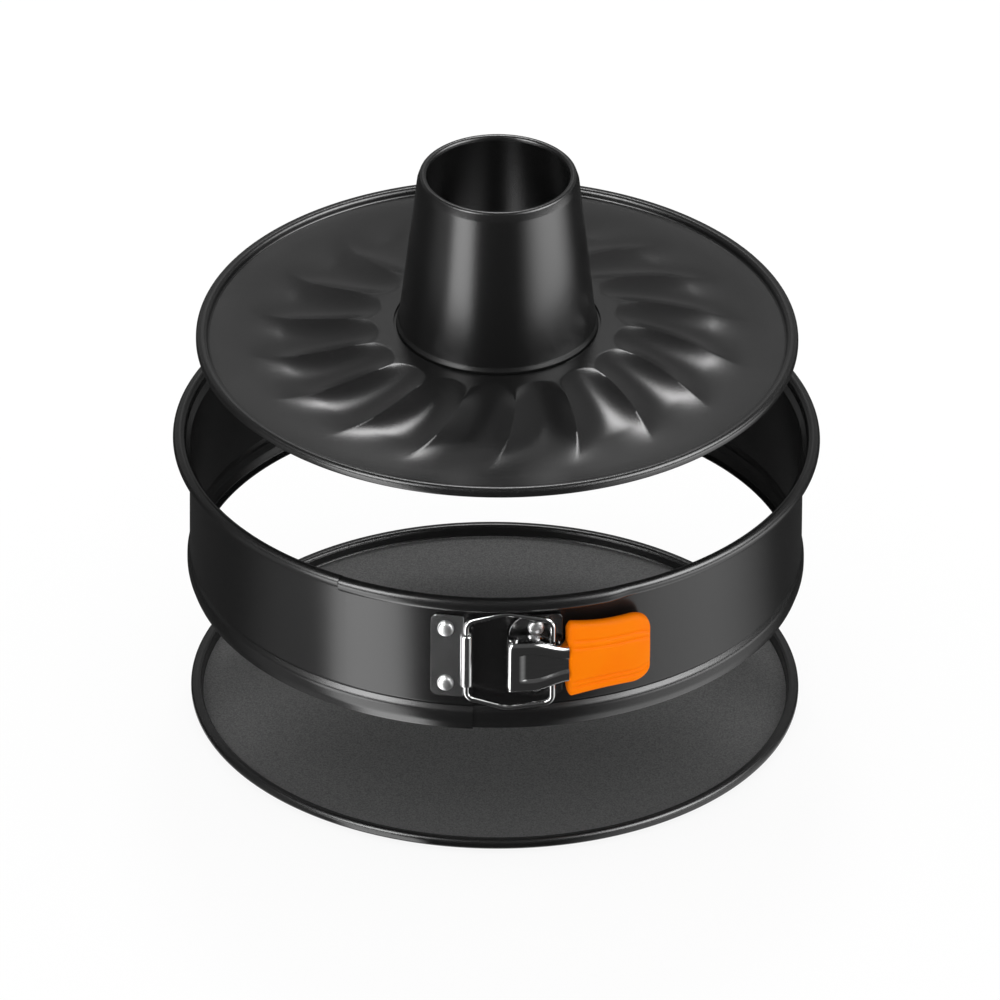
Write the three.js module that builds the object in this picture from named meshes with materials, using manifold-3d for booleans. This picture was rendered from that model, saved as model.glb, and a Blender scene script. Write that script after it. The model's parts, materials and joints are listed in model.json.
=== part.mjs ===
// Springform pan with a flat base and a fluted tube base, shown taken apart on one axis:
// the flat base stands on the table, the latched ring hangs above it and the tube base above that.
// Millimetres, +Z up, origin at the middle of the flat base's underside, latch towards -Y.
import * as THREE from 'three';
import { mergeVertices } from 'three/addons/utils/BufferGeometryUtils.js';
import Module from 'manifold-3d';

const wasm = await Module();
wasm.setup();

// Clearances
const SEAM = 0.3; // between pieces that touch
const HOLE_CLEARANCE = 0.3; // radial, around rivets and pins
const LAYER_GAP = 0.35; // between the two layers of the band where it overlaps

// Ring band
const SHEET = 0.7;
const WALL_RADIUS = 130.7; // outer face of the wall
const RING_HEIGHT = 68;
const RIM_REACH = 7.2; // how far the rolled rim stands out from the wall
const RIM_HEIGHT = 5;
const RIM_BEND = 2.4; // size of the rim's bends
const RIM_SWELL = 1.2; // how much wider the rim is where it wraps over the other end's rim
const RIM_SWELL_DROP = 0.7; // and how much taller
const SWELL_FADE_ANGLE = 20;
const SWELL_END_ANGLE = 25;
const LIP_REACH = 3; // inward lip under the bases, from the wall's inner face
const BEAD_HEIGHT = 11.6; // groove for the base, from the underside to the crease
const BEAD_PROUD = 0.6;
const BEAD_BEND = 2.8; // size of the groove's bends
const CREASE_DEPTH = 1;
const FLEX_ANGLE = 120; // where the band bends when it opens, from the front
const OVERLAP_END_ANGLE = -28.7; // end of the inner layer
const TONGUE_END_ANGLE = -4; // end of the outer layer
const SPIRAL_START_ANGLE = -75; // the outer layer begins to leave the round here
const ARC_STEP_ANGLE = 6;
const TONGUE_JOIN_ANGLE = 1.5; // the outer layer starts this far inside the rim's end
const TONGUE_INSET = 0.03; // keeps its faces off the wall's own faces
const HOLE_REACH = 3; // how far a hole's tool runs past a face

// Bases
const BASE_SHEET = 0.8;
const FLAT_RADIUS = 130.1;
const FLAT_DEPTH = 6;
const TUBE_PLATE_RADIUS = 128.2;
const TUBE_RIM_RISE = 2.5;
const BASE_RIM_WIDTH = 3.5;
const BASE_WALL_RUN = 1.4;
const BASE_BEND = 1.2; // size of the rim's bends
const FLAT_CURL = 3.4; // how far the rim's outer edge curls down
const TUBE_PLATE_CURL = 2.8;
const BASE_SIDES = 60;

// Places of the loose pieces above the table
const RING_BOTTOM = 62.7;
const TUBE_PANEL = 176.7;

// Flutes and tube
const FLUTES = 18;
const FLUTE_START_ANGLE = 8.2; // angle of the first ridge at the hub
const FLUTE_SWIRL_ANGLE = 11; // how far a ridge turns back on its way out
const HUB_RISE = 8.5;
const HUB_RADIUS = 51;
const SCALLOP = 4; // how much further out a scoop starts beside a ridge than in its middle
const RIDGE_MARGIN = 17.2; // flat panel and rim outside the ridges
const RIDGE_END = TUBE_PLATE_RADIUS - RIDGE_MARGIN;
const SCOOP_END = 92;
const FLUTE_STEPS = 4;
const TUBE_HEIGHT = 73.5; // above the hub
const TUBE_TOP_RADIUS = 34.3;
const TUBE_FOOT_RADIUS = 43;
const TUBE_SHOULDER = 3.6;
const TUBE_LIP = 3.3; // how far the top turns inwards
const TUBE_SEAM = 1.2; // open seam between tube and hub
const TUBE_FLANGE = 3.4; // tucked under the hub
const TUBE_SIDES = 36;

// Latch
const LATCH_HEIGHT = 37; // middle of the latch above the ring's underside
const PLATE = 1;
const PLATE_HEIGHT = 40;
const KEEPER_ANGLE = -8.6;
const KEEPER_WIDTH = 15.7;
const KEEPER_CORNER = 3;
const KEEPER_END_CORNER = 0.6;
const KEEPER_RIVET_SPREAD = 27;
const KEEPER_RIVET_SHIFT_ANGLE = 0.4;
const BARREL_ANGLE = -5.1;
const BARREL_LIFT = 3.6; // barrel axis above the outer layer
const BARREL_WALL = 0.85;
const BARREL_LENGTH = 25;
const WIRE = 2.8;
const WIRE_PLAY = 0.35; // radial, in the barrel and in the lever's slots
const WIRE_CORNER_HEIGHT = 18.6; // heights of the loop's corners above the latch's middle
const WIRE_PEAK_HEIGHT = 23.4;
const WIRE_SIDE_HEIGHT = 20;
const WIRE_CORNER_RADIUS = 3.4;
const WIRE_PEAK_RADIUS = 9;
const WIRE_TIP_REACH = 1.8; // past the lever's flange, inside it
const BRACKET_ANGLE = 7.5;
const BRACKET_WIDTH = 23;
const BRACKET_NOSE = 9;
const BRACKET_CORNER = 2.5;
const BRACKET_RIVET_SPREAD = 28;
const EAR = 1.2;
const EAR_EDGE = 1.3; // around the pin's hole
const EAR_GAP = 0.4; // to the lever's flange
const PIVOT_ANGLE = 3.2;
const PIVOT_LIFT = 7.3;
const PIN = 3;
const PIN_HEAD = 4.6;
const PIN_HEAD_THICKNESS = 0.8;
const LEVER_START_ANGLE = 2.1;
const LEVER_TAPER_ANGLE = 6.3;
const LEVER_HEIGHT = 24;
const LEVER_NECK = 17;
const LEVER_SHEET = 1.1;
const LEVER_LIFT = 4;
const LEVER_DEPTH = 7.8;
const LEVER_EDGE = 1; // bevel along the lever's face
const WIRE_END_ANGLE = 10.2;
const WIRE_END_LIFT = 7;
const SLOT_INWARD = 3.1; // run of the wire end in the lever's slot, towards the pivot
const SLOT_OUTWARD = 1;
const SLOT_SIDE = 0.7;
const GRIP_START_ANGLE = 12.9;
const GRIP_END_ANGLE = 28.2;
const GRIP_HEIGHT = 37;
const GRIP_TIP_HEIGHT = 32.4;
const GRIP_LIFT = 2.6;
const GRIP_DEPTH = 7.2;
const GRIP_WAIST = 0.9; // how far its long edges curve in
const GRIP_TIP_ROUND = 5;
const GRIP_GROOVE_WIDTH = 1.8;
const GRIP_GROOVE_DEPTH = 0.5;
const GRIP_GROOVES = [-0.88, -0.7, 0.42, 0.66]; // places, as shares of the face's half height
const TANG_END_ANGLE = 24;
const TANG_BEND_ANGLE = 3; // over which the tang steps from the lever's face to the grip's middle
const TANG_STEP_ANGLE = 0.7;
const TANG_HEIGHT = 13;
const RIVET_HEAD = 6.4;
const RIVET_DOME = 2;
const RIVET_SHANK = 3.4;
const RIVET_TAIL = 0.6;

// Fineness of the round pieces
const CORNER_STEPS = 5;
const ROD_SIDES = 12;
const RIVET_SIDES = 14;
const WIRE_SIDES = 8;

const coat = { color: 0x2b2b2d, roughness: 0.42, metalness: 0.55 };
const steel = { color: 0xc9c9cc, roughness: 0.18, metalness: 1 };
const silicone = { color: 0xff7a0a, roughness: 0.55, metalness: 0 };

const latchZ = RING_BOTTOM + LATCH_HEIGHT;
const layerStep = SHEET + LAYER_GAP;
const tongueRadius = WALL_RADIUS + layerStep;

const radians = (degrees) => (degrees * Math.PI) / 180;
const mix = (a, b, t) => a + (b - a) * t;
const clamp01 = (t) => Math.min(Math.max(t, 0), 1);
const smooth = (t) => clamp01(t) ** 2 * (3 - 2 * clamp01(t));

// A point at a radius and an angle from the front, counted towards +X.
function polar(radius, degrees, z = 0) {
  return new THREE.Vector3(radius * Math.sin(radians(degrees)), -radius * Math.cos(radians(degrees)), z);
}

// A closed geometry from corner points and triangles, with merged corners and its faces pointing out.
function closedGeometry(points, triangles) {
  const raw = new THREE.BufferGeometry();
  raw.setAttribute('position', new THREE.Float32BufferAttribute(points.flatMap((p) => [p.x, p.y, p.z]), 3));
  raw.setIndex(triangles.flat());
  const merged = mergeVertices(raw, 1e-4);
  const index = merged.getIndex().array;
  const position = merged.getAttribute('position');
  const kept = [];
  let volume = 0;
  const [a, b, c] = [new THREE.Vector3(), new THREE.Vector3(), new THREE.Vector3()];
  for (let i = 0; i < index.length; i += 3) {
    const [i0, i1, i2] = [index[i], index[i + 1], index[i + 2]];
    if (i0 === i1 || i1 === i2 || i2 === i0) {
      continue;
    }
    a.fromBufferAttribute(position, i0);
    b.fromBufferAttribute(position, i1);
    c.fromBufferAttribute(position, i2);
    volume += a.dot(b.cross(c));
    kept.push([i0, i1, i2]);
  }
  merged.setIndex(volume > 0 ? kept.flat() : kept.flatMap(([i0, i1, i2]) => [i0, i2, i1]));
  return merged;
}

// A closed outline of [radius, height] points carried round the axis; outlineAt(angle) may change on
// the way and twist(radius) turns its points. A full turn closes on itself, a part turn gets end faces.
function sweep(outlineAt, angles, { fullTurn = false, twist = () => 0 } = {}) {
  const rings = angles.map((angle) => outlineAt(angle).map(([r, z]) => polar(r, angle + twist(r), z)));
  const count = rings[0].length;
  const triangles = [];
  const last = fullTurn ? angles.length : angles.length - 1;
  for (let i = 0; i < last; i += 1) {
    const near = i * count;
    const far = ((i + 1) % angles.length) * count;
    for (let j = 0; j < count; j += 1) {
      const k = (j + 1) % count;
      triangles.push([near + j, far + j, far + k], [near + j, far + k, near + k]);
    }
  }
  if (!fullTurn) {
    const capAt = (ring, flip) => {
      const contour = outlineAt(angles[ring]).map(([r, z]) => new THREE.Vector2(r, z));
      const wasClockwise = THREE.ShapeUtils.isClockWise(contour);
      THREE.ShapeUtils.triangulateShape(contour, []).forEach(([p, q, s]) => {
        const face = [ring * count + p, ring * count + q, ring * count + s];
        triangles.push(flip === wasClockwise ? face : face.reverse());
      });
    };
    capAt(0, false);
    capAt(angles.length - 1, true);
  }
  return closedGeometry(rings.flat(), triangles);
}

// The two faces of a bent sheet, as one closed outline round its middle line.
function sheetOutline(line, thickness) {
  const side = (sign) => line.map(([r, z], i) => {
    const [r0, z0] = line[Math.max(i - 1, 0)];
    const [r1, z1] = line[Math.min(i + 1, line.length - 1)];
    const [before, after] = [Math.atan2(z - z0, r - r0), Math.atan2(z1 - z, r1 - r)];
    const first = i === 0 ? after : before;
    const second = i === line.length - 1 ? before : after;
    const turn = Math.atan2(Math.sin(second - first), Math.cos(second - first)) / 2;
    const reach = ((sign * thickness) / 2) / Math.cos(turn);
    const heading = first + turn;
    return [Math.max(r - reach * Math.sin(heading), 0), z + reach * Math.cos(heading)];
  });
  return [...side(1), ...side(-1).reverse()];
}

function stations(from, to, step) {
  const count = Math.max(Math.ceil(Math.abs(to - from) / step - 1e-6), 1);
  return Array.from({ length: count + 1 }, (_, i) => mix(from, to, i / count));
}

function turnStations(count) {
  return Array.from({ length: count }, (_, i) => (360 * i) / count);
}

// A round bar along a list of points, with flat ends.
function bar(points, diameter, sides) {
  const rings = [];
  const normal = new THREE.Vector3();
  points.forEach((point, i) => {
    const ahead = points[Math.min(i + 1, points.length - 1)].clone().sub(point).normalize();
    const behind = point.clone().sub(points[Math.max(i - 1, 0)]).normalize();
    const tangent = ahead.add(behind).normalize();
    if (i === 0) {
      const upright = Math.abs(tangent.z) > 0.9;
      normal.crossVectors(tangent, upright ? polar(1, 0) : new THREE.Vector3(0, 0, 1));
    }
    normal.addScaledVector(tangent, -normal.dot(tangent)).normalize();
    const binormal = new THREE.Vector3().crossVectors(tangent, normal);
    for (let k = 0; k < sides; k += 1) {
      const a = (2 * Math.PI * k) / sides;
      const offset = normal.clone().multiplyScalar(Math.cos(a)).addScaledVector(binormal, Math.sin(a));
      rings.push(point.clone().addScaledVector(offset, diameter / 2));
    }
  });
  const triangles = [];
  for (let i = 0; i < points.length - 1; i += 1) {
    for (let k = 0; k < sides; k += 1) {
      const [p, q] = [i * sides + k, i * sides + ((k + 1) % sides)];
      triangles.push([p, q, q + sides], [p, q + sides, p + sides]);
    }
  }
  const end = (points.length - 1) * sides;
  for (let k = 1; k < sides - 1; k += 1) {
    triangles.push([0, k + 1, k], [end, end + k, end + k + 1]);
  }
  return closedGeometry(rings, triangles);
}

// Corner points with rounded corners; each entry is [along, height, corner radius].
function roundedPath(corners, arcSteps) {
  const path = [];
  corners.forEach(([x, y, radius], i) => {
    const here = new THREE.Vector2(x, y);
    if (i === 0 || i === corners.length - 1 || radius === 0) {
      path.push(here);
      return;
    }
    const toPrevious = new THREE.Vector2(corners[i - 1][0], corners[i - 1][1]).sub(here).normalize();
    const toNext = new THREE.Vector2(corners[i + 1][0], corners[i + 1][1]).sub(here).normalize();
    const half = Math.acos(toPrevious.dot(toNext)) / 2;
    const start = here.clone().addScaledVector(toPrevious, radius / Math.tan(half));
    const stop = here.clone().addScaledVector(toNext, radius / Math.tan(half));
    const curve = new THREE.QuadraticBezierCurve(start, here, stop);
    path.push(...curve.getPoints(arcSteps));
  });
  return path;
}

function solid(geometry) {
  const plain = geometry.clone();
  plain.deleteAttribute('normal');
  plain.deleteAttribute('uv');
  const merged = mergeVertices(plain, 1e-4);
  const vertProperties = new Float32Array(merged.getAttribute('position').array);
  const triVerts = new Uint32Array(merged.getIndex().array);
  return new wasm.Manifold(new wasm.Mesh({ numProp: 3, vertProperties, triVerts }));
}

function fromSolid(manifold) {
  const mesh = manifold.getMesh();
  const geometry = new THREE.BufferGeometry();
  geometry.setAttribute('position', new THREE.BufferAttribute(new Float32Array(mesh.vertProperties), 3));
  geometry.setIndex(new THREE.BufferAttribute(new Uint32Array(mesh.triVerts), 1));
  return geometry;
}

const join = (...geometries) => fromSolid(geometries.map(solid).reduce((sum, one) => sum.add(one)));

function cut(geometry, ...tools) {
  return fromSolid(tools.map(solid).reduce((rest, one) => rest.subtract(one), solid(geometry)));
}

// A flat plate cut to a shape (along the band, up) and laid on the ring at an angle.
function plateOnRing(shape, degrees, radius, thickness) {
  const settings = { depth: thickness, bevelEnabled: false, curveSegments: CORNER_STEPS };
  const geometry = new THREE.ExtrudeGeometry(shape, settings);
  const along = new THREE.Vector3(Math.cos(radians(degrees)), Math.sin(radians(degrees)), 0);
  const basis = new THREE.Matrix4().makeBasis(along, new THREE.Vector3(0, 0, 1), polar(1, degrees));
  return geometry.applyMatrix4(basis.setPosition(polar(radius, degrees, latchZ)));
}

// A flat plate cut to a shape in plan, between two heights.
function plateInPlan(shape, low, high) {
  const settings = { depth: high - low, bevelEnabled: false, curveSegments: CORNER_STEPS };
  const geometry = new THREE.ExtrudeGeometry(shape, settings);
  return geometry.translate(0, 0, low);
}

function roundedRectangle(left, right, low, high, leftRadius, rightRadius) {
  const shape = new THREE.Shape();
  shape.moveTo(left + leftRadius, low);
  shape.lineTo(right - rightRadius, low);
  shape.absarc(right - rightRadius, low + rightRadius, rightRadius, -Math.PI / 2, 0);
  shape.lineTo(right, high - rightRadius);
  shape.absarc(right - rightRadius, high - rightRadius, rightRadius, 0, Math.PI / 2);
  shape.lineTo(left + leftRadius, high);
  shape.absarc(left + leftRadius, high - leftRadius, leftRadius, Math.PI / 2, Math.PI);
  shape.lineTo(left, low + leftRadius);
  shape.absarc(left + leftRadius, low + leftRadius, leftRadius, Math.PI, 1.5 * Math.PI);
  return shape;
}

// A straight round rod through the ring's wall, pointing out at an angle.
function radialRod(diameter, inner, outer, degrees, z) {
  return bar([polar(inner, degrees, z), polar(outer, degrees, z)], diameter, ROD_SIDES);
}

function uprightRod(diameter, point, low, high) {
  return bar([point.clone().setZ(low), point.clone().setZ(high)], diameter, ROD_SIDES);
}

// Ring band: the sheet's middle line from the inward lip up to the end of the rolled rim.
function bandFootLine(shift, withLip) {
  const middle = WALL_RADIUS - SHEET / 2 + shift;
  const low = RING_BOTTOM + SHEET / 2;
  const crease = RING_BOTTOM + BEAD_HEIGHT;
  const lip = withLip ? [[middle - SHEET / 2 - LIP_REACH, low]] : [];
  return [
    ...lip,
    [middle - BEAD_PROUD * 0.5, low],
    [middle + BEAD_PROUD * 0.7, low + BEAD_BEND * 0.35],
    [middle + BEAD_PROUD, low + BEAD_BEND],
    [middle + BEAD_PROUD * 0.4, crease - BEAD_BEND * 1.4],
    [middle - CREASE_DEPTH, crease],
    [middle, crease + BEAD_BEND],
  ];
}

function bandRimLine(shift, swell) {
  const middle = WALL_RADIUS - SHEET / 2;
  const wall = middle + shift;
  const top = RING_BOTTOM + RING_HEIGHT - SHEET / 2;
  const outer = middle + RIM_REACH + swell * RIM_SWELL;
  const low = top - (RIM_HEIGHT - SHEET) - swell * RIM_SWELL_DROP;
  return [
    [wall, top - RIM_BEND * 0.75],
    [wall + RIM_BEND * 0.4, top - RIM_BEND * 0.15],
    [wall + RIM_BEND, top],
    [outer - RIM_BEND * 0.85, top - RIM_BEND * 0.05],
    [outer - RIM_BEND * 0.15, top - RIM_BEND * 0.45],
    [outer, mix(low, top, 0.45)],
    [outer - RIM_BEND * 0.4, low + RIM_BEND * 0.15],
    [outer - RIM_BEND, low],
    [middle + 2 * layerStep, low],
  ];
}

// shift moves the wall out to the second layer, swell (0 to 1) widens the rim.
function bandOutline(shift, swell) {
  return sheetOutline([...bandFootLine(shift, true), ...bandRimLine(shift, swell)], SHEET);
}

const tongueTop = RING_BOTTOM + RING_HEIGHT - RIM_HEIGHT - RIM_SWELL_DROP - SEAM;

function tongueOutline() {
  const middle = tongueRadius - SHEET / 2;
  const line = [...bandFootLine(layerStep, false), [middle, tongueTop]];
  return sheetOutline(line, SHEET - 2 * TONGUE_INSET);
}

const flexGap = (SEAM / (WALL_RADIUS + RIM_REACH)) * (180 / Math.PI);

function rivetHoles(angle, spread, inner, outer) {
  return [-1, 1].map((side) => radialRod(RIVET_SHANK + 2 * HOLE_CLEARANCE, inner, outer, angle,
    latchZ + (side * spread) / 2));
}

const keeperRivetAngle = KEEPER_ANGLE - KEEPER_RIVET_SHIFT_ANGLE;

function bandBack() {
  const angles = stations(FLEX_ANGLE + flexGap, 360 - FLEX_ANGLE - flexGap, ARC_STEP_ANGLE);
  return sweep(() => bandOutline(0, 0), angles);
}

function bandRight() {
  const swellAt = (angle) => smooth((SWELL_END_ANGLE - angle) / (SWELL_END_ANGLE - SWELL_FADE_ANGLE));
  const plain = sweep((angle) => bandOutline(0, swellAt(angle)), [
    ...stations(OVERLAP_END_ANGLE, SWELL_FADE_ANGLE, ARC_STEP_ANGLE),
    ...stations(SWELL_FADE_ANGLE, SWELL_END_ANGLE, ARC_STEP_ANGLE / 3).slice(1),
    ...stations(SWELL_END_ANGLE, FLEX_ANGLE, ARC_STEP_ANGLE).slice(1),
  ]);
  return cut(plain, ...rivetHoles(BRACKET_ANGLE, BRACKET_RIVET_SPREAD, WALL_RADIUS - HOLE_REACH,
    WALL_RADIUS + HOLE_REACH));
}

function bandLeft() {
  const rimEnd = OVERLAP_END_ANGLE - flexGap * 2;
  const tongueStart = rimEnd - TONGUE_JOIN_ANGLE;
  const spiral = tongueStart - SPIRAL_START_ANGLE;
  const shiftAt = (angle) => layerStep * smooth((angle - SPIRAL_START_ANGLE) / spiral);
  const main = sweep((angle) => bandOutline(shiftAt(angle), 0), [
    ...stations(-FLEX_ANGLE, SPIRAL_START_ANGLE, ARC_STEP_ANGLE),
    ...stations(SPIRAL_START_ANGLE, tongueStart, ARC_STEP_ANGLE).slice(1),
    rimEnd,
  ]);
  const tongue = sweep(tongueOutline, stations(tongueStart, TONGUE_END_ANGLE, ARC_STEP_ANGLE / 2));
  return cut(join(main, tongue),
    ...rivetHoles(keeperRivetAngle, KEEPER_RIVET_SPREAD, WALL_RADIUS - HOLE_REACH,
      tongueRadius + HOLE_REACH));
}

// Bases: the raised rolled rim, with heights counted from the panel's top face.
function baseRimLine(radius, rise, curlDrop) {
  const half = BASE_SHEET / 2;
  const outer = radius - half;
  const inner = radius - BASE_RIM_WIDTH;
  const top = rise - half;
  return [
    [inner - BASE_WALL_RUN - BASE_BEND * 0.7, -half],
    [inner - BASE_WALL_RUN, 0],
    [inner, top - BASE_BEND * 0.4],
    [inner + BASE_BEND * 0.75, top],
    [outer - BASE_BEND, top],
    [outer - BASE_BEND * 0.2, top - BASE_BEND * 0.7],
    [outer, top - BASE_BEND * 1.6],
    [outer - BASE_BEND * 0.5, top - curlDrop + BASE_BEND * 0.25],
    [outer - BASE_BEND * 1.6, top - curlDrop],
  ];
}

function flatBase() {
  const panel = BASE_SHEET;
  const rise = FLAT_DEPTH - panel;
  const line = [[0, -BASE_SHEET / 2], ...baseRimLine(FLAT_RADIUS, rise, FLAT_CURL)];
  const outline = sheetOutline(line, BASE_SHEET).map(([r, z]) => [r, z + panel]);
  return sweep(() => outline, turnStations(BASE_SIDES), { fullTurn: true });
}

const ridgeHeight = (r) => HUB_RISE * (1 - clamp01((r - HUB_RADIUS) / (RIDGE_END - HUB_RADIUS)) ** 2) ** 2.4;
const hubHole = TUBE_FOOT_RADIUS + TUBE_SEAM;
const swirl = (r) => -FLUTE_SWIRL_ANGLE * clamp01((r - HUB_RADIUS) / (RIDGE_END - HUB_RADIUS)) ** 1.5;

function tubeBasePlate() {
  const scoopStations = [0.1, 0.21, 0.34, 0.52, 0.75, 1].map((t) => mix(HUB_RADIUS, RIDGE_END, t));
  const outlineAt = (angle) => {
    const phase = (((angle - FLUTE_START_ANGLE) * FLUTES) / 360) % 1;
    const acrossScoop = Math.abs(2 * (((phase + 1) % 1) - 0.5)) ** 2;
    const scoopStart = HUB_RADIUS + SCALLOP * acrossScoop;
    const scoopHeight = (r) => HUB_RISE * clamp01((SCOOP_END - r) / (SCOOP_END - scoopStart)) ** 1.5;
    const height = (r) => mix(scoopHeight(r), ridgeHeight(r), acrossScoop) - BASE_SHEET / 2;
    const line = [
      [hubHole, HUB_RISE - BASE_SHEET / 2],
      [HUB_RADIUS, HUB_RISE - BASE_SHEET / 2],
      ...scoopStations.map((r) => [r, height(r)]),
      ...baseRimLine(TUBE_PLATE_RADIUS, TUBE_RIM_RISE, TUBE_PLATE_CURL),
    ];
    return sheetOutline(line, BASE_SHEET).map(([r, z]) => [r, z + TUBE_PANEL]);
  };
  const angles = turnStations(FLUTES * FLUTE_STEPS).map((angle) => angle + FLUTE_START_ANGLE);
  return sweep(outlineAt, angles, { fullTurn: true, twist: swirl });
}

function tube() {
  const half = BASE_SHEET / 2;
  const hub = TUBE_PANEL + HUB_RISE;
  const flange = hub - BASE_SHEET - SEAM - half;
  const top = hub + TUBE_HEIGHT - half;
  const foot = TUBE_FOOT_RADIUS - half;
  const mouth = TUBE_TOP_RADIUS - half;
  const line = [
    [foot + TUBE_FLANGE + half, flange],
    [foot + BASE_SHEET * 0.75, flange],
    [foot - BASE_SHEET * 0.1, flange + BASE_SHEET * 0.75],
    [foot - BASE_SHEET * 0.25, hub],
    [mouth + TUBE_LIP * 0.1, top - TUBE_SHOULDER],
    [mouth - TUBE_LIP * 0.1, top - TUBE_SHOULDER / 3],
    [mouth - TUBE_LIP * 0.4, top],
    [mouth - TUBE_LIP * 0.8, top - TUBE_SHOULDER * 0.1],
    [mouth - TUBE_LIP, top - TUBE_SHOULDER * 0.4],
  ];
  return sweep(() => sheetOutline(line, BASE_SHEET), turnStations(TUBE_SIDES), { fullTurn: true });
}

// Latch: the keeper plate with its rolled barrel, on the outer layer of the band.
const barrelAxis = polar(tongueRadius + BARREL_LIFT, BARREL_ANGLE);
const barrelBore = WIRE + 2 * WIRE_PLAY;

function keeperPlate() {
  const seat = tongueRadius + SEAM;
  const offset = radians(BARREL_ANGLE - KEEPER_ANGLE);
  const right = (tongueRadius + BARREL_LIFT) * Math.sin(offset);
  const half = PLATE_HEIGHT / 2;
  const shape = roundedRectangle(right - KEEPER_WIDTH, right, -half, half, KEEPER_CORNER, KEEPER_END_CORNER);
  const plate = plateOnRing(shape, KEEPER_ANGLE, seat, PLATE);
  const barrel = uprightRod(barrelBore + 2 * BARREL_WALL, barrelAxis, latchZ - BARREL_LENGTH / 2,
    latchZ + BARREL_LENGTH / 2);
  const bore = uprightRod(barrelBore, barrelAxis, latchZ - half, latchZ + half);
  return cut(join(plate, barrel), bore,
    ...rivetHoles(keeperRivetAngle, KEEPER_RIVET_SPREAD, WALL_RADIUS, seat + PLATE + HOLE_REACH));
}

// A dome-headed rivet; seat is the radius that the head rests on, tail the radius that the shank ends at.
function rivet(angle, z, seat, tail, tailHead) {
  const head = RIVET_HEAD / 2;
  const shank = RIVET_SHANK / 2;
  const low = tail - seat;
  const tailDisc = tailHead > 0
    ? [[0, low - tailHead], [head * 0.8, low - tailHead], [head * 0.8, low], [shank, low]]
    : [[0, low], [shank, low]];
  const dome = [0, 0.35, 0.7, 1].map((t) => {
    const a = (t * Math.PI) / 2;
    return [head * Math.cos(a), SEAM + RIVET_DOME * Math.sin(a)];
  });
  const profile = [...tailDisc, [shank, SEAM], ...dome].map(([r, y]) => new THREE.Vector2(Math.max(r, 0), y));
  profile[profile.length - 1].x = 0;
  const lathe = new THREE.LatheGeometry(profile, RIVET_SIDES);
  lathe.deleteAttribute('normal');
  lathe.deleteAttribute('uv');
  const position = lathe.getAttribute('position');
  const pointAt = (i) => new THREE.Vector3().fromBufferAttribute(position, i);
  const points = Array.from({ length: position.count }, (_, i) => pointAt(i));
  const index = lathe.getIndex().array;
  const triangles = Array.from({ length: index.length / 3 }, (_, i) => [...index.slice(3 * i, 3 * i + 3)]);
  const body = closedGeometry(points, triangles);
  const outward = polar(1, angle);
  const turn = new THREE.Quaternion().setFromUnitVectors(new THREE.Vector3(0, 1, 0), outward);
  return body.applyQuaternion(turn).translate(outward.x * seat, outward.y * seat, z);
}

// Lever bracket: a riveted plate with two ears that hold the pivot pin inside the lever.
const pivot = polar(WALL_RADIUS + PIVOT_LIFT, PIVOT_ANGLE);
const earNose = PIN / 2 + EAR_EDGE;
const earTop = LEVER_HEIGHT / 2 - LEVER_SHEET - EAR_GAP;

function latchBracket() {
  const half = PLATE_HEIGHT / 2;
  const seat = WALL_RADIUS + SEAM;
  const width = BRACKET_WIDTH / 2;
  const shape = roundedRectangle(-width, width, -half, half, BRACKET_NOSE, BRACKET_CORNER);
  const plate = plateOnRing(shape, BRACKET_ANGLE, seat, PLATE);
  const outline = new THREE.Shape();
  const foot = -(seat + PLATE / 2);
  outline.moveTo(pivot.x - earNose, foot);
  outline.lineTo(pivot.x - earNose, pivot.y);
  outline.absarc(pivot.x, pivot.y, earNose, Math.PI, 2 * Math.PI);
  outline.lineTo(pivot.x + earNose, foot + PLATE * 0.6);
  const ears = [-1, 1].map((side) => {
    const low = side > 0 ? latchZ + earTop - EAR : latchZ - earTop;
    return plateInPlan(outline, low, low + EAR);
  });
  const hole = uprightRod(PIN + 2 * HOLE_CLEARANCE, pivot, latchZ - half, latchZ + half);
  return cut(join(plate, ...ears), hole,
    ...rivetHoles(BRACKET_ANGLE, BRACKET_RIVET_SPREAD, WALL_RADIUS - HOLE_REACH, seat + PLATE + HOLE_REACH));
}

function leverPivotPin() {
  const reach = LEVER_HEIGHT / 2 + SEAM;
  const middle = reach + PIN_HEAD_THICKNESS / 2;
  const shaft = uprightRod(PIN, pivot, latchZ - middle, latchZ + middle);
  const heads = [-1, 1].map((side) => {
    const low = side > 0 ? latchZ + reach : latchZ - reach - PIN_HEAD_THICKNESS;
    return uprightRod(PIN_HEAD, pivot, low, low + PIN_HEAD_THICKNESS);
  });
  return join(shaft, ...heads);
}

// Lever: a steel channel over the pivot that narrows to a flat tang inside the grip.
const wireEnd = polar(WALL_RADIUS + WIRE_END_LIFT, WIRE_END_ANGLE);
const leverNeckAngle = GRIP_START_ANGLE - flexGap;
const leverHalfHeight = (angle) => mix(LEVER_HEIGHT, LEVER_NECK,
  smooth((angle - LEVER_TAPER_ANGLE) / (leverNeckAngle - LEVER_TAPER_ANGLE))) / 2;
const leverFront = WALL_RADIUS + LEVER_LIFT + LEVER_DEPTH;
const gripMiddle = WALL_RADIUS + GRIP_LIFT + GRIP_DEPTH / 2;

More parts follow.
